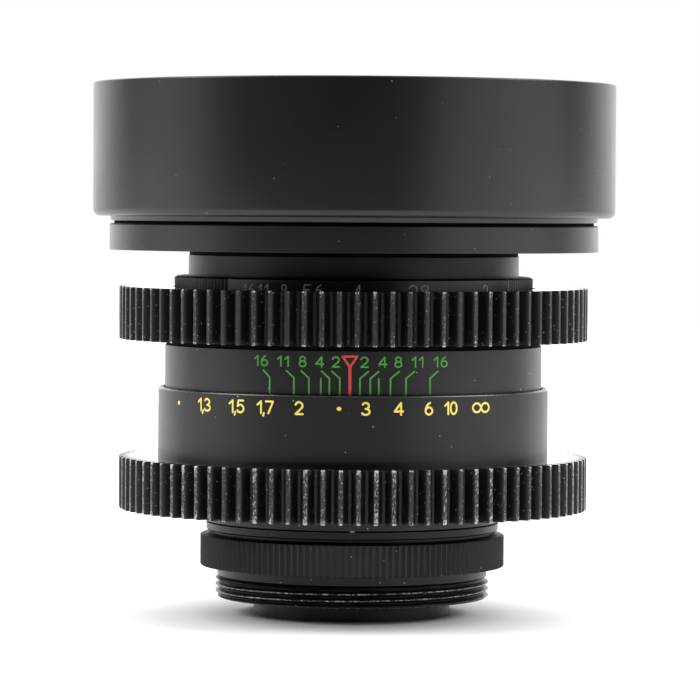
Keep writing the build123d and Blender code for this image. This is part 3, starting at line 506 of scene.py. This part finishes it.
# The focus ring's upper edge: handling has polished the anodised corner round and glossy, so
# it mirrors the lamps in a thin line above the distance scale.
edge_black, tree, place = new_material("polished_black_anodised_edge")
grain = add_node(tree, "ShaderNodeTexNoise", {"Scale": 900.0, "Detail": 3.0}, {"Vector": place})
rough = add_node(
    tree,
    "ShaderNodeMapRange",
    {"To Min": 0.12, "To Max": 0.45},
    {"Value": grain.outputs["Fac"]},
)
shader = add_node(
    tree,
    "ShaderNodeBsdfPrincipled",
    {"Base Color": linear("#0a0a0b"), "IOR": 2.0},
    {"Roughness": rough.outputs["Result"]},
)
show(tree, shader)
focus_r = 29.92
focus_top = 34.8
edge_round = 0.3
corner = np.radians(np.linspace(0, 90, 13))
quarter = edge_round * np.stack([np.cos(corner) - 1, np.sin(corner) - 1], axis=-1)
profile = np.concatenate([(focus_r, focus_top) + quarter, [(29.58, 34.6), (29.72, 34.46)]])
points = around_axis(profile[:, :1], ring_angle, profile[:, 1:])
add_piece(grid_mesh("focus_ring_polished_edge", points), edge_black, "focus", "barrel_black")

# Preset ring: a blasted, black anodised grip ring with 220 fine straight grooves, and a
# smooth sector in front for its stop numbers. It turns on the barrel above the front gear.
preset_r = 27.48
smooth_from = -42.0
smooth_to = 57.6
groove_count = 220
ring_angle = np.linspace(0, 2 * np.pi, groove_count * 6 + 1)[:-1]
from_index = np.degrees((ring_angle + np.pi) % (2 * np.pi) - np.pi)
in_knurl = np.clip(np.maximum(smooth_from - from_index, from_index - smooth_to), 0, 1)
groove_depth = 0.16 * (1 - np.abs(2 * ((ring_angle * groove_count / (2 * np.pi)) % 1) - 1))
preset_profile = np.array(
    [
        (25.45, 47.2),
        (27.3, 47.2),
        (preset_r, 47.38),
        (preset_r, 49.2),
        (preset_r, 51.52),
        (26.95, 51.8),
        (26.4, 51.8),
        (26.4, 50.8),
        (25.45, 50.8),
    ]
)
preset_radius = np.minimum(preset_profile[:, :1], preset_r - groove_depth * in_knurl)
preset_points = around_axis(preset_radius, ring_angle, preset_profile[:, 1:])
add_piece(
    grid_mesh("knurled_preset_ring", preset_points, sharp=25.0),
    blasted_black,
    "preset",
    "barrel_black",
    "preset_ring",
)


# Scale marks: cut into the rings and filled with enamel. Each stroke of a number is one
# round-ended line, a hair's breadth proud of the ring.
def arc(across, up, wide, tall, start, end):
    """Points on an ellipse about (across, up), from angle start to end in degrees."""
    turn = np.radians(np.linspace(start, end, 17))
    return np.stack([across + wide * np.cos(turn), up + tall * np.sin(turn)], axis=-1)


# Each figure is one unit tall: its width, and its strokes as (across, up) points. "~" stands
# for the lying eight of infinity.
figures = {
    "0": (0.60, [arc(0.30, 0.50, 0.30, 0.50, 90, 450)]),
    "1": (0.36, [[(0.32, 0.0), (0.32, 1.0)], [(0.32, 1.0), (0.03, 0.72)]]),
    "2": (
        0.60,
        [
            np.concatenate([arc(0.30, 0.70, 0.28, 0.30, 165, -40), [(0.02, 0.0)]]),
            [(0.02, 0.0), (0.60, 0.0)],
        ],
    ),
    "3": (0.60, [arc(0.28, 0.75, 0.25, 0.25, 155, -90), arc(0.29, 0.25, 0.30, 0.25, 90, -155)]),
    "4": (
        0.66,
        [[(0.50, 0.0), (0.50, 1.0)], [(0.50, 1.0), (0.0, 0.28)], [(0.0, 0.28), (0.66, 0.28)]],
    ),
    "5": (
        0.58,
        [
            [(0.54, 1.0), (0.12, 1.0)],
            [(0.12, 1.0), (0.06, 0.54)],
            arc(0.28, 0.32, 0.29, 0.32, 140, -150),
        ],
    ),
    "6": (
        0.60,
        [arc(0.30, 0.30, 0.29, 0.30, 90, 450), arc(0.62, 0.26, 0.61, 0.78, 178, 112)],
    ),
    "7": (0.56, [[(0.0, 1.0), (0.56, 1.0)], [(0.56, 1.0), (0.20, 0.0)]]),
    "8": (0.60, [arc(0.30, 0.77, 0.24, 0.23, 90, 450), arc(0.30, 0.27, 0.29, 0.27, 90, 450)]),
    "9": (
        0.60,
        [arc(0.30, 0.70, 0.29, 0.30, 90, 450), arc(-0.02, 0.74, 0.61, 0.78, -2, -68)],
    ),
    ",": (0.12, [[(0.08, 0.02), (0.02, -0.22)]]),
    "~": (
        1.70,
        [
            arc(0.42, 0.48, 0.40, 0.38, 40, 320),
            arc(1.28, 0.48, 0.40, 0.38, 140, -140),
            [(0.726, 0.724), (0.974, 0.236)],
            [(0.726, 0.236), (0.974, 0.724)],
        ],
    ),
}


def number(text, tall, across, up, stretch=1.0, gap=0.3):
    """The strokes of a number whose figures are this tall, centred at (across, up)."""
    widths = [figures[figure][0] * stretch for figure in text]
    left = -(sum(widths) + gap * (len(text) - 1)) / 2
    strokes = []
    for figure, width in zip(text, widths):
        for stroke in figures[figure][1]:
            points = np.array(stroke) * (stretch, 1.0) + (left, -0.5)
            strokes.append(points * tall + (across, up))
        left += width + gap
    return strokes


def painted_lines(name, strokes, wide, radius):
    """A mesh of enamel lines on a ring: strokes are (across, up) points on the unrolled ring.

    A flat section, as wide as the brush and rising 0.015 mm at its middle, is carried along
    each stroke; at the ends its width falls as the edge of a circle does, to a point.
    """
    spacing = 0.15
    cap = np.radians([0, 22, 45, 68])
    side = np.array([-1.0, -0.6, 0.0, 0.6, 1.0, 0.0])
    rise = np.array([0.0, 0.011, 0.015, 0.011, 0.0, -0.03])
    finished = bmesh.new()
    for stroke in strokes:
        path = np.array(stroke, dtype=float)
        run = np.concatenate([[0], np.cumsum(np.linalg.norm(np.diff(path, axis=0), axis=1))])
        even = np.linspace(0, run[-1], max(len(path), int(run[-1] / spacing) + 2))
        path = np.stack([np.interp(even, run, path[:, 0]), np.interp(even, run, path[:, 1])], axis=-1)
        first = path[0] - path[1]
        last = path[-1] - path[-2]
        first /= np.linalg.norm(first)
        last /= np.linalg.norm(last)
        reach = np.cos(cap)[:, None] * wide / 2
        path = np.concatenate([path[0] + first * reach, path, path[-1] + last * reach[::-1]])
        swell = np.concatenate([np.sin(cap), np.ones(len(even)), np.sin(cap)[::-1]])[:, None]
        along = np.gradient(path, axis=0)
        along /= np.linalg.norm(along, axis=1, keepdims=True)
        across = path[:, :1] + along[:, 1:] * side * swell * wide / 2
        up = path[:, 1:] - along[:, :1] * side * swell * wide / 2
        points = around_axis(radius + rise * swell, across / radius, up)
        piece = grid_mesh(name, points, closed=False)
        finished.from_mesh(piece)
        bpy.data.meshes.remove(piece)
    bmesh.ops.remove_doubles(finished, verts=finished.verts, dist=1e-7)
    bmesh.ops.recalc_face_normals(finished, faces=finished.faces)
    mesh = bpy.data.meshes.new(name)
    finished.to_mesh(mesh)
    finished.free()
    mesh.shade_smooth()
    return mesh


def enamel(name, colour, worn):
    """Engraving enamel: a soft gloss paint with worn patches 0.2 mm across in its colour."""
    material, tree, place = new_material(name)
    patches = add_node(tree, "ShaderNodeTexNoise", {"Scale": 5000.0, "Detail": 3.0}, {"Vector": place})
    amount = add_node(
        tree,
        "ShaderNodeMapRange",
        {"From Min": 0.45, "From Max": 0.75, "To Min": 0.0, "To Max": 0.7},
        {"Value": patches.outputs["Fac"]},
    )
    mixed = add_node(
        tree,
        "ShaderNodeMix",
        {"data_type": "RGBA", 6: linear(colour), 7: linear(worn)},
        {0: amount.outputs["Result"]},
    )
    shader = add_node(
        tree,
        "ShaderNodeBsdfPrincipled",
        {"Roughness": 0.5},
        {"Base Color": mixed.outputs[2]},
    )
    show(tree, shader)
    return material


stop_enamel = enamel("worn_grey_engraving_enamel", "#cdc8ae", "#7c7969")
green_enamel = enamel("green_engraving_enamel", "#4ba238", "#3a7c31")
red_enamel = enamel("red_engraving_enamel", "#dc443b", "#b0362f")
yellow_enamel = enamel("yellow_engraving_enamel", "#f8e168", "#e2c04e")

# The preset ring's stop numbers, worn grey, with the tops of the figures at the ring's edge:
# each number and its place, in degrees round the ring from the index.
stop_marks = {"16": -34.4, "11": -29.1, "8": -21.9, "5,6": -12.5, "4": 1.2, "2,8": 20.5, "2": 45.4}
strokes = []
for text, turn in stop_marks.items():
    stretch, gap = (1.15, 0.1) if "," in text else (0.84, 0.3)
    across = np.radians(turn) * preset_r
    strokes += number(text, tall=1.85, across=across, up=49.95, stretch=stretch, gap=gap)
add_piece(
    painted_lines("stop_numbers", strokes, wide=0.23, radius=preset_r),
    stop_enamel,
    "preset",
    "barrel_black",
)

# The depth of field scale, green, on the fixed ring above the focus ring: numbers at both
# sides of the index, and lines that slant in and run down behind the focus ring's edge.
# Places are in degrees from the index; each line has the place of its foot and its head.
depth_r = 28.9
line_head = 38.28
line_bend = 37.26
line_foot = 34.2
strokes = []
depth_numbers = {
    -28.02: "16",
    -20.9: "11",
    -14.88: "8",
    -9.78: "4",
    -5.06: "2",
    3.28: "2",
    8.62: "4",
    13.25: "8",
    19.08: "11",
    26.48: "16",
}
for turn, text in depth_numbers.items():
    across = np.radians(turn) * depth_r
    strokes += number(text, tall=1.45, across=across, up=39.67, stretch=1.18, gap=0.36)
depth_lines = {
    -25.12: -27.2,
    -17.48: -19.8,
    -12.96: -15.3,
    -6.9: -9.2,
    -3.84: -6.2,
    2.0: 4.4,
    5.0: 7.4,
    10.95: 13.5,
    15.6: 18.1,
    23.05: 25.5,
}
for foot, head in depth_lines.items():
    foot, head = np.radians(foot) * depth_r, np.radians(head) * depth_r
    strokes.append([(head, line_head), (foot, line_bend)])
    strokes.append([(foot, line_bend), (foot, line_foot)])
for turn in (-9.41, 7.5):
    foot = np.radians(turn) * depth_r
    strokes.append([(foot, 37.2), (foot, line_foot)])
add_piece(
    painted_lines("depth_of_field_scale", strokes, wide=0.24, radius=depth_r),
    green_enamel,
    "optics",
    "barrel_black",
)

# The index: a red triangle in outline, with a stem down to the distance scale.
middle = np.radians(-0.94) * depth_r
triangle_left = (middle - 1.06, 40.48)
triangle_right = (middle + 1.06, 40.48)
triangle_foot = (middle, 38.9)
strokes = [
    [triangle_left, triangle_right],
    [triangle_right, triangle_foot],
    [triangle_foot, triangle_left],
]
add_piece(
    painted_lines("index_triangle", strokes, wide=0.33, radius=depth_r),
    red_enamel,
    "optics",
    "barrel_black",
)
stem = [(middle, 38.8), (middle, line_foot)]
add_piece(
    painted_lines("index_stem", [stem], wide=0.44, radius=depth_r),
    red_enamel,
    "optics",
    "barrel_black",
)

# The distance scale in metres, yellow, on the focus ring; it turns with the ring, and runs
# on round the back to half a metre. The longer a number is, the closer its figures stand.
distance_marks = {
    "~": 39.3,
    "10": 28.8,
    "6": 21.9,
    "4": 13.0,
    "3": 3.65,
    "2": -15.3,
    "1,7": -25.6,
    "1,5": -35.1,
    "1,3": -47.7,
    "1": -84.0,
    "0,9": -99.0,
    "0,8": -118.0,
    "0,7": -143.0,
    "0,6": -179.0,
    "0,5": -234.0,
}
spread = {1: (1.08, 0.3), 2: (1.0, 0.19), 3: (1.2, 0.13)}
strokes = []
for text, turn in distance_marks.items():
    stretch, gap = spread[len(text)]
    across = np.radians(turn) * focus_r
    strokes += number(text, tall=1.75, across=across, up=32.87, stretch=stretch, gap=gap)
add_piece(
    painted_lines("distance_scale", strokes, wide=0.31, radius=focus_r),
    yellow_enamel,
    "focus",
    "barrel_black",
)
strokes = []
for turn in (-3.9, -60.7, -155.2, -200.6):
    dot = np.radians(turn) * focus_r
    strokes.append([(dot - 0.03, 32.85), (dot + 0.03, 32.85)])
add_piece(
    painted_lines("distance_dots", strokes, wide=0.62, radius=focus_r),
    yellow_enamel,
    "focus",
    "barrel_black",
)

# Follow-focus gears: seamless rings of black acetal, 87 teeth of 0.8 mm module milled to an
# involute, pressed on the aperture ring and the focus ring. Rubbing pales the tooth tips, and a
# painted highlight pales them more at their bevelled ends; the end faces were turned smooth, so
# at a low angle they mirror the white wall behind.
worn_acetal, tree, place = new_material("milled_black_acetal_with_rubbed_and_highlit_teeth")
# The wear attribute pales the tips: partly rubbing, partly a painted highlight on the bevelled tooth
# ends.
wear = add_node(tree, "ShaderNodeAttribute", {"attribute_name": "wear"})
upright = add_node(tree, "ShaderNodeMapping", {"Scale": (1.0, 1.0, 0.5)}, {"Vector": place})
scuffs = add_node(
    tree,
    "ShaderNodeTexNoise",
    {"Scale": 4600.0, "Detail": 4.0, "Roughness": 0.7},
    {"Vector": upright.outputs["Vector"]},
)
reach = add_node(
    tree,
    "ShaderNodeMath",
    {"operation": "ADD"},
    {0: scuffs.outputs["Fac"], 1: wear.outputs["Fac"]},
)
rubbed = add_node(
    tree,
    "ShaderNodeMapRange",
    {"From Min": 1.12, "From Max": 1.26, "To Min": 0.0, "To Max": 1.0},
    {"Value": reach.outputs["Value"]},
)
dull = add_node(
    tree,
    "ShaderNodeMix",
    {"data_type": "RGBA", 7: linear("#2b2e2e")},
    {0: wear.outputs["Fac"], 6: dusty(tree, place, "#0b0c0c", "#b8b8b4", 700.0, 0.07)},
)
grey = add_node(
    tree,
    "ShaderNodeMix",
    {"data_type": "RGBA", 7: linear("#b9bbb9")},
    {0: rubbed.outputs["Result"], 6: dull.outputs[2]},
)
specks = add_node(tree, "ShaderNodeTexVoronoi", {"Scale": 1500.0}, {"Vector": place})
near = add_node(
    tree,
    "ShaderNodeMapRange",
    {"From Min": 0.1, "From Max": 0.05, "To Min": 0.0, "To Max": 1.0},
    {"Value": specks.outputs["Distance"]},
)
grey = add_node(
    tree,
    "ShaderNodeMix",
    {"data_type": "RGBA", 7: linear("#c4c6c0")},
    {0: near.outputs["Result"], 6: grey.outputs[2]},
)
milled = add_node(
    tree,
    "ShaderNodeMapRange",
    {"To Min": 0.28, "To Max": 0.48},
    {"Value": scuffs.outputs["Fac"]},
)
turned = add_node(tree, "ShaderNodeAttribute", {"attribute_name": "turned"})
rough = add_node(
    tree,
    "ShaderNodeMapRange",
    {"To Max": 0.08},
    {"Value": turned.outputs["Fac"], "To Min": milled.outputs["Result"]},
)
bump = add_node(
    tree,
    "ShaderNodeBump",
    {"Strength": 0.12, "Distance": 0.00003},
    {"Height": scuffs.outputs["Fac"]},
)
shader = add_node(
    tree,
    "ShaderNodeBsdfPrincipled",
    {"IOR": 1.45},
    {
        "Base Color": grey.outputs[2],
        "Roughness": rough.outputs["Result"],
        "Normal": bump.outputs["Normal"],
    },
)
show(tree, shader)


def gear_mesh(name, bore, bottom, phase, wear):
    """A spur gear ring 8 mm wide, with 87 teeth on a pitch radius of 34.8 mm.

    The flank of a tooth is an involute: at radius r its half angle is a quarter of the tooth
    pitch, plus the share of a profile shift of 0.4 modules, plus inv(20 degrees) less inv(a),
    where the cosine of a is the base radius over r and inv(a) is tan a - a. The outline is
    carried up the width, with bevelled edges.
    """
    teeth = 87
    pitch_r = 34.8
    shift = 0.4
    bevel = 0.1
    pressure = np.radians(20.0)
    base = pitch_r * np.cos(pressure)
    flank_radius = np.array([34.12, 34.16, 34.32, 34.72, 35.12, 35.52, 35.8, 35.89])
    inv_a = np.tan(np.arccos(base / flank_radius)) - np.arccos(base / flank_radius)
    half = (np.pi / 2 + 2 * shift * np.tan(pressure)) / teeth + np.tan(pressure) - pressure - inv_a
    half += np.array([0.16, 0.06, 0.0, 0.0, 0.0, 0.0, -0.01, -0.06]) / flank_radius
    tooth_radius = np.concatenate([flank_radius, [35.91], flank_radius[::-1], [34.12]])
    tooth_angle = np.concatenate([-half, [0.0], half[::-1], [np.pi / teeth]])
    middles = np.radians(phase) + np.arange(teeth) * 2 * np.pi / teeth
    angle = (middles[:, None] + tooth_angle).reshape(-1)
    radius = np.tile(tooth_radius, teeth)
    outline = np.stack([radius * np.sin(angle), -radius * np.cos(angle)], axis=-1)
    along = np.roll(outline, -1, axis=0) - np.roll(outline, 1, axis=0)
    along /= np.linalg.norm(along, axis=1, keepdims=True)
    inward = np.stack([-along[:, 1], along[:, 0]], axis=-1)
    inset = outline + inward * bevel
    hole = np.stack([bore * np.sin(angle), -bore * np.cos(angle)], axis=-1)
    # Up the width: the outline, its height, how pale the tips are (rubbing, raised at the bevelled
    # ends by a painted highlight), and 1 on an end face.
    levels = [
        (hole, 0.0, 0.0, 1.0),
        (inset, 0.0, 1.0, 1.0),
        (outline, bevel, 1.0, 0.0),
        (outline, 0.3, 0.86, 0.0),
        (outline, 1.2, 0.78, 0.0),
        (outline, 4.0, 0.74, 0.0),
        (outline, 6.8, 0.78, 0.0),
        (outline, 7.7, 0.86, 0.0),
        (outline, 7.9, 1.0, 0.0),
        (inset, 8.0, 1.0, 1.0),
        (hole, 8.0, 0.0, 1.0),
    ]
    rows = [np.column_stack([ring, np.full(len(ring), bottom + up)]) for ring, up, *_ in levels]
    mesh = grid_mesh(name, np.stack(rows) * 0.001, sharp=28.0)
    tip = np.clip((radius - 35.65) / 0.2, 0, 1)
    chance = np.random.default_rng(7).uniform(0.84, 1.0, teeth).repeat(len(tooth_angle))
    rubbed = np.stack([tip * chance * end * wear for *_, end, face in levels])
    turned = np.stack([np.full(len(radius), face) for *_, face in levels])
    mesh.attributes.new("wear", "FLOAT", "POINT").data.foreach_set("value", rubbed.reshape(-1))
    mesh.attributes.new("turned", "FLOAT", "POINT").data.foreach_set("value", turned.reshape(-1))
    return mesh


add_piece(
    gear_mesh("aperture_gear_teeth", bore=28.0, bottom=42.1, phase=0.88, wear=0.72),
    worn_acetal,
    "aperture",
    "gear_black",
    "aperture_gear",
)
add_piece(
    gear_mesh("focus_gear_teeth", bore=29.94, bottom=16.2, phase=1.43, wear=0.81),
    worn_acetal,
    "focus",
    "gear_black",
    "focus_gear",
)

# Mount ring: one turned piece, black anodised, with 145 straight grip grooves above the
# flange seat and the 42 mm camera thread, 1 mm pitch, below.
worn_black, tree, place = new_material("black_anodised_aluminium_with_rubbed_thread")
wear = add_node(tree, "ShaderNodeAttribute", {"attribute_name": "wear"})
scuffs = add_node(tree, "ShaderNodeTexNoise", {"Scale": 2600.0, "Detail": 4.0}, {"Vector": place})
reach = add_node(
    tree,
    "ShaderNodeMath",
    {"operation": "ADD"},
    {0: scuffs.outputs["Fac"], 1: wear.outputs["Fac"]},
)
rubbed = add_node(
    tree,
    "ShaderNodeMapRange",
    {"From Min": 1.06, "From Max": 1.25, "To Min": 0.0, "To Max": 1.0},
    {"Value": reach.outputs["Value"]},
)
colour = add_node(
    tree,
    "ShaderNodeMix",
    {"data_type": "RGBA", 7: linear("#a9a9a6")},
    {0: rubbed.outputs["Result"], 6: dusty(tree, place, "#0a0a0b", "#b0b0ac", 500.0, 0.05)},
)
rough = add_node(
    tree,
    "ShaderNodeMapRange",
    {"To Min": 0.30, "To Max": 0.42},
    {"Value": scuffs.outputs["Fac"]},
)
shader = add_node(
    tree,
    "ShaderNodeBsdfPrincipled",
    {"IOR": 1.36},
    {
        "Base Color": colour.outputs[2],
        "Metallic": rubbed.outputs["Result"],
        "Roughness": rough.outputs["Result"],
    },
)
show(tree, shader)

# The camera thread is a triangle wave over height less turn, its crests and roots cut flat;
# it fades out under the flange and is chamfered at its lower end.
grip_r = 23.35
grip_count = 145
ring_angle = np.linspace(0, 2 * np.pi, grip_count * 6 + 1)[:-1]
grip_depth = 0.25 * (1 - np.abs(2 * ((ring_angle * grip_count / (2 * np.pi)) % 1) - 1))
thread_root = 20.39
thread_depth = 0.61
thread_foot = 2.6
thread_top = 5.8
thread_rows = np.linspace(thread_foot, thread_top, 49)
thread_phase = thread_rows[:, None] + 0.25 - ring_angle / (2 * np.pi)
thread_turn = np.abs(2 * (thread_phase % 1) - 1)
thread_rise = np.clip(1.35 * thread_turn - 0.12, 0, 1)
thread_fade = np.clip((thread_top - thread_rows[:, None]) / 0.3, 0, 1)
thread_radius = thread_root + thread_depth * thread_rise * thread_fade
thread_radius = np.minimum(thread_radius, 20.5 + (thread_rows[:, None] - thread_foot) * 1.2)
neck_profile = np.array(
    [(thread_root, thread_top), (20.7, 6.0), (20.7, 7.75), (21.2, 7.75), (21.2, 7.45)]
)
grip_profile = np.array(
    [
        (23.2, 7.45),
        (grip_r, 7.6),
        (grip_r, 7.7),
        (grip_r, 10.0),
        (grip_r, 12.15),
        (23.25, 12.19),
        (23.15, 12.23),
        (22.6, 12.45),
    ]
)
in_grip = np.array([0.6, 1, 1, 1, 1, 1, 1, 1])[:, None]
grip_radius = np.minimum(grip_profile[:, :1], grip_r - grip_depth * in_grip)
inner_profile = np.array(
    [(21.4, 12.45), (21.4, 12.9), (20.42, 12.9), (20.42, 8.65), (18.8, 8.65), (18.8, thread_foot)]
)
radius = np.concatenate(
    [
        thread_radius,
        neck_profile[:, :1] + 0 * ring_angle,
        grip_radius,
        inner_profile[:, :1] + 0 * ring_angle,
    ]
)
height = np.concatenate([thread_rows, neck_profile[:, 1], grip_profile[:, 1], inner_profile[:, 1]])
mesh = grid_mesh("threaded_mount_ring", around_axis(radius, ring_angle, height[:, None]), sharp=25.0)
# Use has rubbed the thread's crests, and most of all its lowest edge.
wear = np.zeros_like(radius)
wear[: len(thread_rows)] = 0.62 * np.clip((thread_radius - 20.85) / 0.12, 0, 1)
wear[:2] = 0.55
mesh.attributes.new("wear", "FLOAT", "POINT").data.foreach_set("value", wear.reshape(-1))
add_piece(mesh, worn_black, "mount", "mount_black", "mount_ring")

# Inside the barrel: matt black paint against stray light, on the cells, the spacers and
# the rings that hold the glass.
matt_black, tree, place = new_material("matt_black_paint")
grain = add_node(tree, "ShaderNodeTexNoise", {"Scale": 7000.0, "Detail": 3.0}, {"Vector": place})
bump = add_node(
    tree,
    "ShaderNodeBump",
    {"Strength": 0.4, "Distance": 0.00002},
    {"Height": grain.outputs["Fac"]},
)
shader = add_node(
    tree,
    "ShaderNodeBsdfPrincipled",
    {"Roughness": 0.6},
    {
        "Base Color": dusty(tree, place, "#0c0c0d", "#5a5a58", 500.0, 0.03),
        "Normal": bump.outputs["Normal"],
    },
)
show(tree, shader)
paint_over(matt_black, "front_cell", "optics_barrel", "iris_housing", "front_spacer")
paint_over(matt_black, "front_retaining_ring", "rear_spacer", "rear_retaining_ring")
paint_over(matt_black, "iris_rotor", "optics_lock_ring")

# Helicoid, sleeve retainer and guide keys: turned and lapped brass, wet with grease.
greased_brass, tree, place = new_material("turned_brass_with_grease")
lines = add_node(tree, "ShaderNodeMapping", {"Scale": (0.02, 0.02, 1.0)}, {"Vector": place})
feed = add_node(
    tree,
    "ShaderNodeTexNoise",
    {"Scale": 5000.0, "Detail": 2.0},
    {"Vector": lines.outputs["Vector"]},
)
colour = add_node(
    tree,
    "ShaderNodeMix",
    {"data_type": "RGBA", 6: linear("#a8843e"), 7: linear("#c9a55c")},
    {0: feed.outputs["Fac"]},
)
shader = add_node(
    tree,
    "ShaderNodeBsdfPrincipled",
    {"Metallic": 1.0, "Roughness": 0.28},
    {"Base Color": colour.outputs[2]},
)
show(tree, shader)
paint_over(greased_brass, "inner_helicoid", "sleeve_retainer", "guide_keys", "infinity_shim")

# Screws, stop pin, click ball and spring: turned and hardened steel.
turned_steel, tree, place = new_material("turned_steel")
cloud = add_node(tree, "ShaderNodeTexNoise", {"Scale": 2500.0, "Detail": 3.0}, {"Vector": place})
rough = add_node(
    tree,
    "ShaderNodeMapRange",
    {"To Min": 0.2, "To Max": 0.4},
    {"Value": cloud.outputs["Fac"]},
)
shader = add_node(
    tree,
    "ShaderNodeBsdfPrincipled",
    {"Metallic": 1.0, "Base Color": linear("#8f8f90")},
    {"Roughness": rough.outputs["Result"]},
)
show(tree, shader)
paint_over(turned_steel, "mount_screws", "guide_key_screws", "focus_stop_pin")
paint_over(turned_steel, "focus_ring_screws", "depth_ring_screws", "aperture_link_screw")
paint_over(turned_steel, "preset_click_ball", "preset_click_spring")

# Iris: eight blades of spring steel, blued black and left matt so they don't reflect.
blued_steel, tree, place = new_material("blackened_spring_steel")
cloud = add_node(tree, "ShaderNodeTexNoise", {"Scale": 900.0, "Detail": 4.0}, {"Vector": place})
colour = add_node(
    tree,
    "ShaderNodeMix",
    {"data_type": "RGBA", 6: linear("#1b1c1f"), 7: linear("#2a2b30")},
    {0: cloud.outputs["Fac"]},
)
shader = add_node(
    tree,
    "ShaderNodeBsdfPrincipled",
    {"Metallic": 0.6, "Roughness": 0.45},
    {"Base Color": colour.outputs[2]},
)
show(tree, shader)
paint_over(blued_steel, *[f"iris_blade_{blade}" for blade in range(1, 9)])

# Glass: six elements, ground and polished, with a thin anti-reflection coat that tints
# what little they mirror; the crown elements amber, the flint ones violet. Each kind has its
# refractive index, its own colour, its coat's and its elements.
coated = {
    "polished_crown_glass_with_amber_coat": (
        1.62,
        "#f6fbf7",
        "#ffb45c",
        ("front_element", "front_doublet_crown", "rear_doublet_crown", "rear_element"),
    ),
    "polished_flint_glass_with_violet_coat": (
        1.65,
        "#fbf8ee",
        "#a27bff",
        ("front_doublet_flint", "rear_doublet_flint"),
    ),
}
for name, (index, body_colour, coat_colour, elements) in coated.items():
    glass, tree, place = new_material(name)
    haze = add_node(tree, "ShaderNodeTexNoise", {"Scale": 400.0, "Detail": 2.0}, {"Vector": place})
    rough = add_node(
        tree,
        "ShaderNodeMapRange",
        {"To Min": 0.0, "To Max": 0.03},
        {"Value": haze.outputs["Fac"]},
    )
    shader = add_node(
        tree,
        "ShaderNodeBsdfPrincipled",
        {
            "Base Color": linear(body_colour),
            "IOR": index,
            "Transmission Weight": 1.0,
            "Specular Tint": linear(coat_colour),
        },
        {"Roughness": rough.outputs["Result"]},
    )
    show(tree, shader)
    paint_over(glass, *elements)
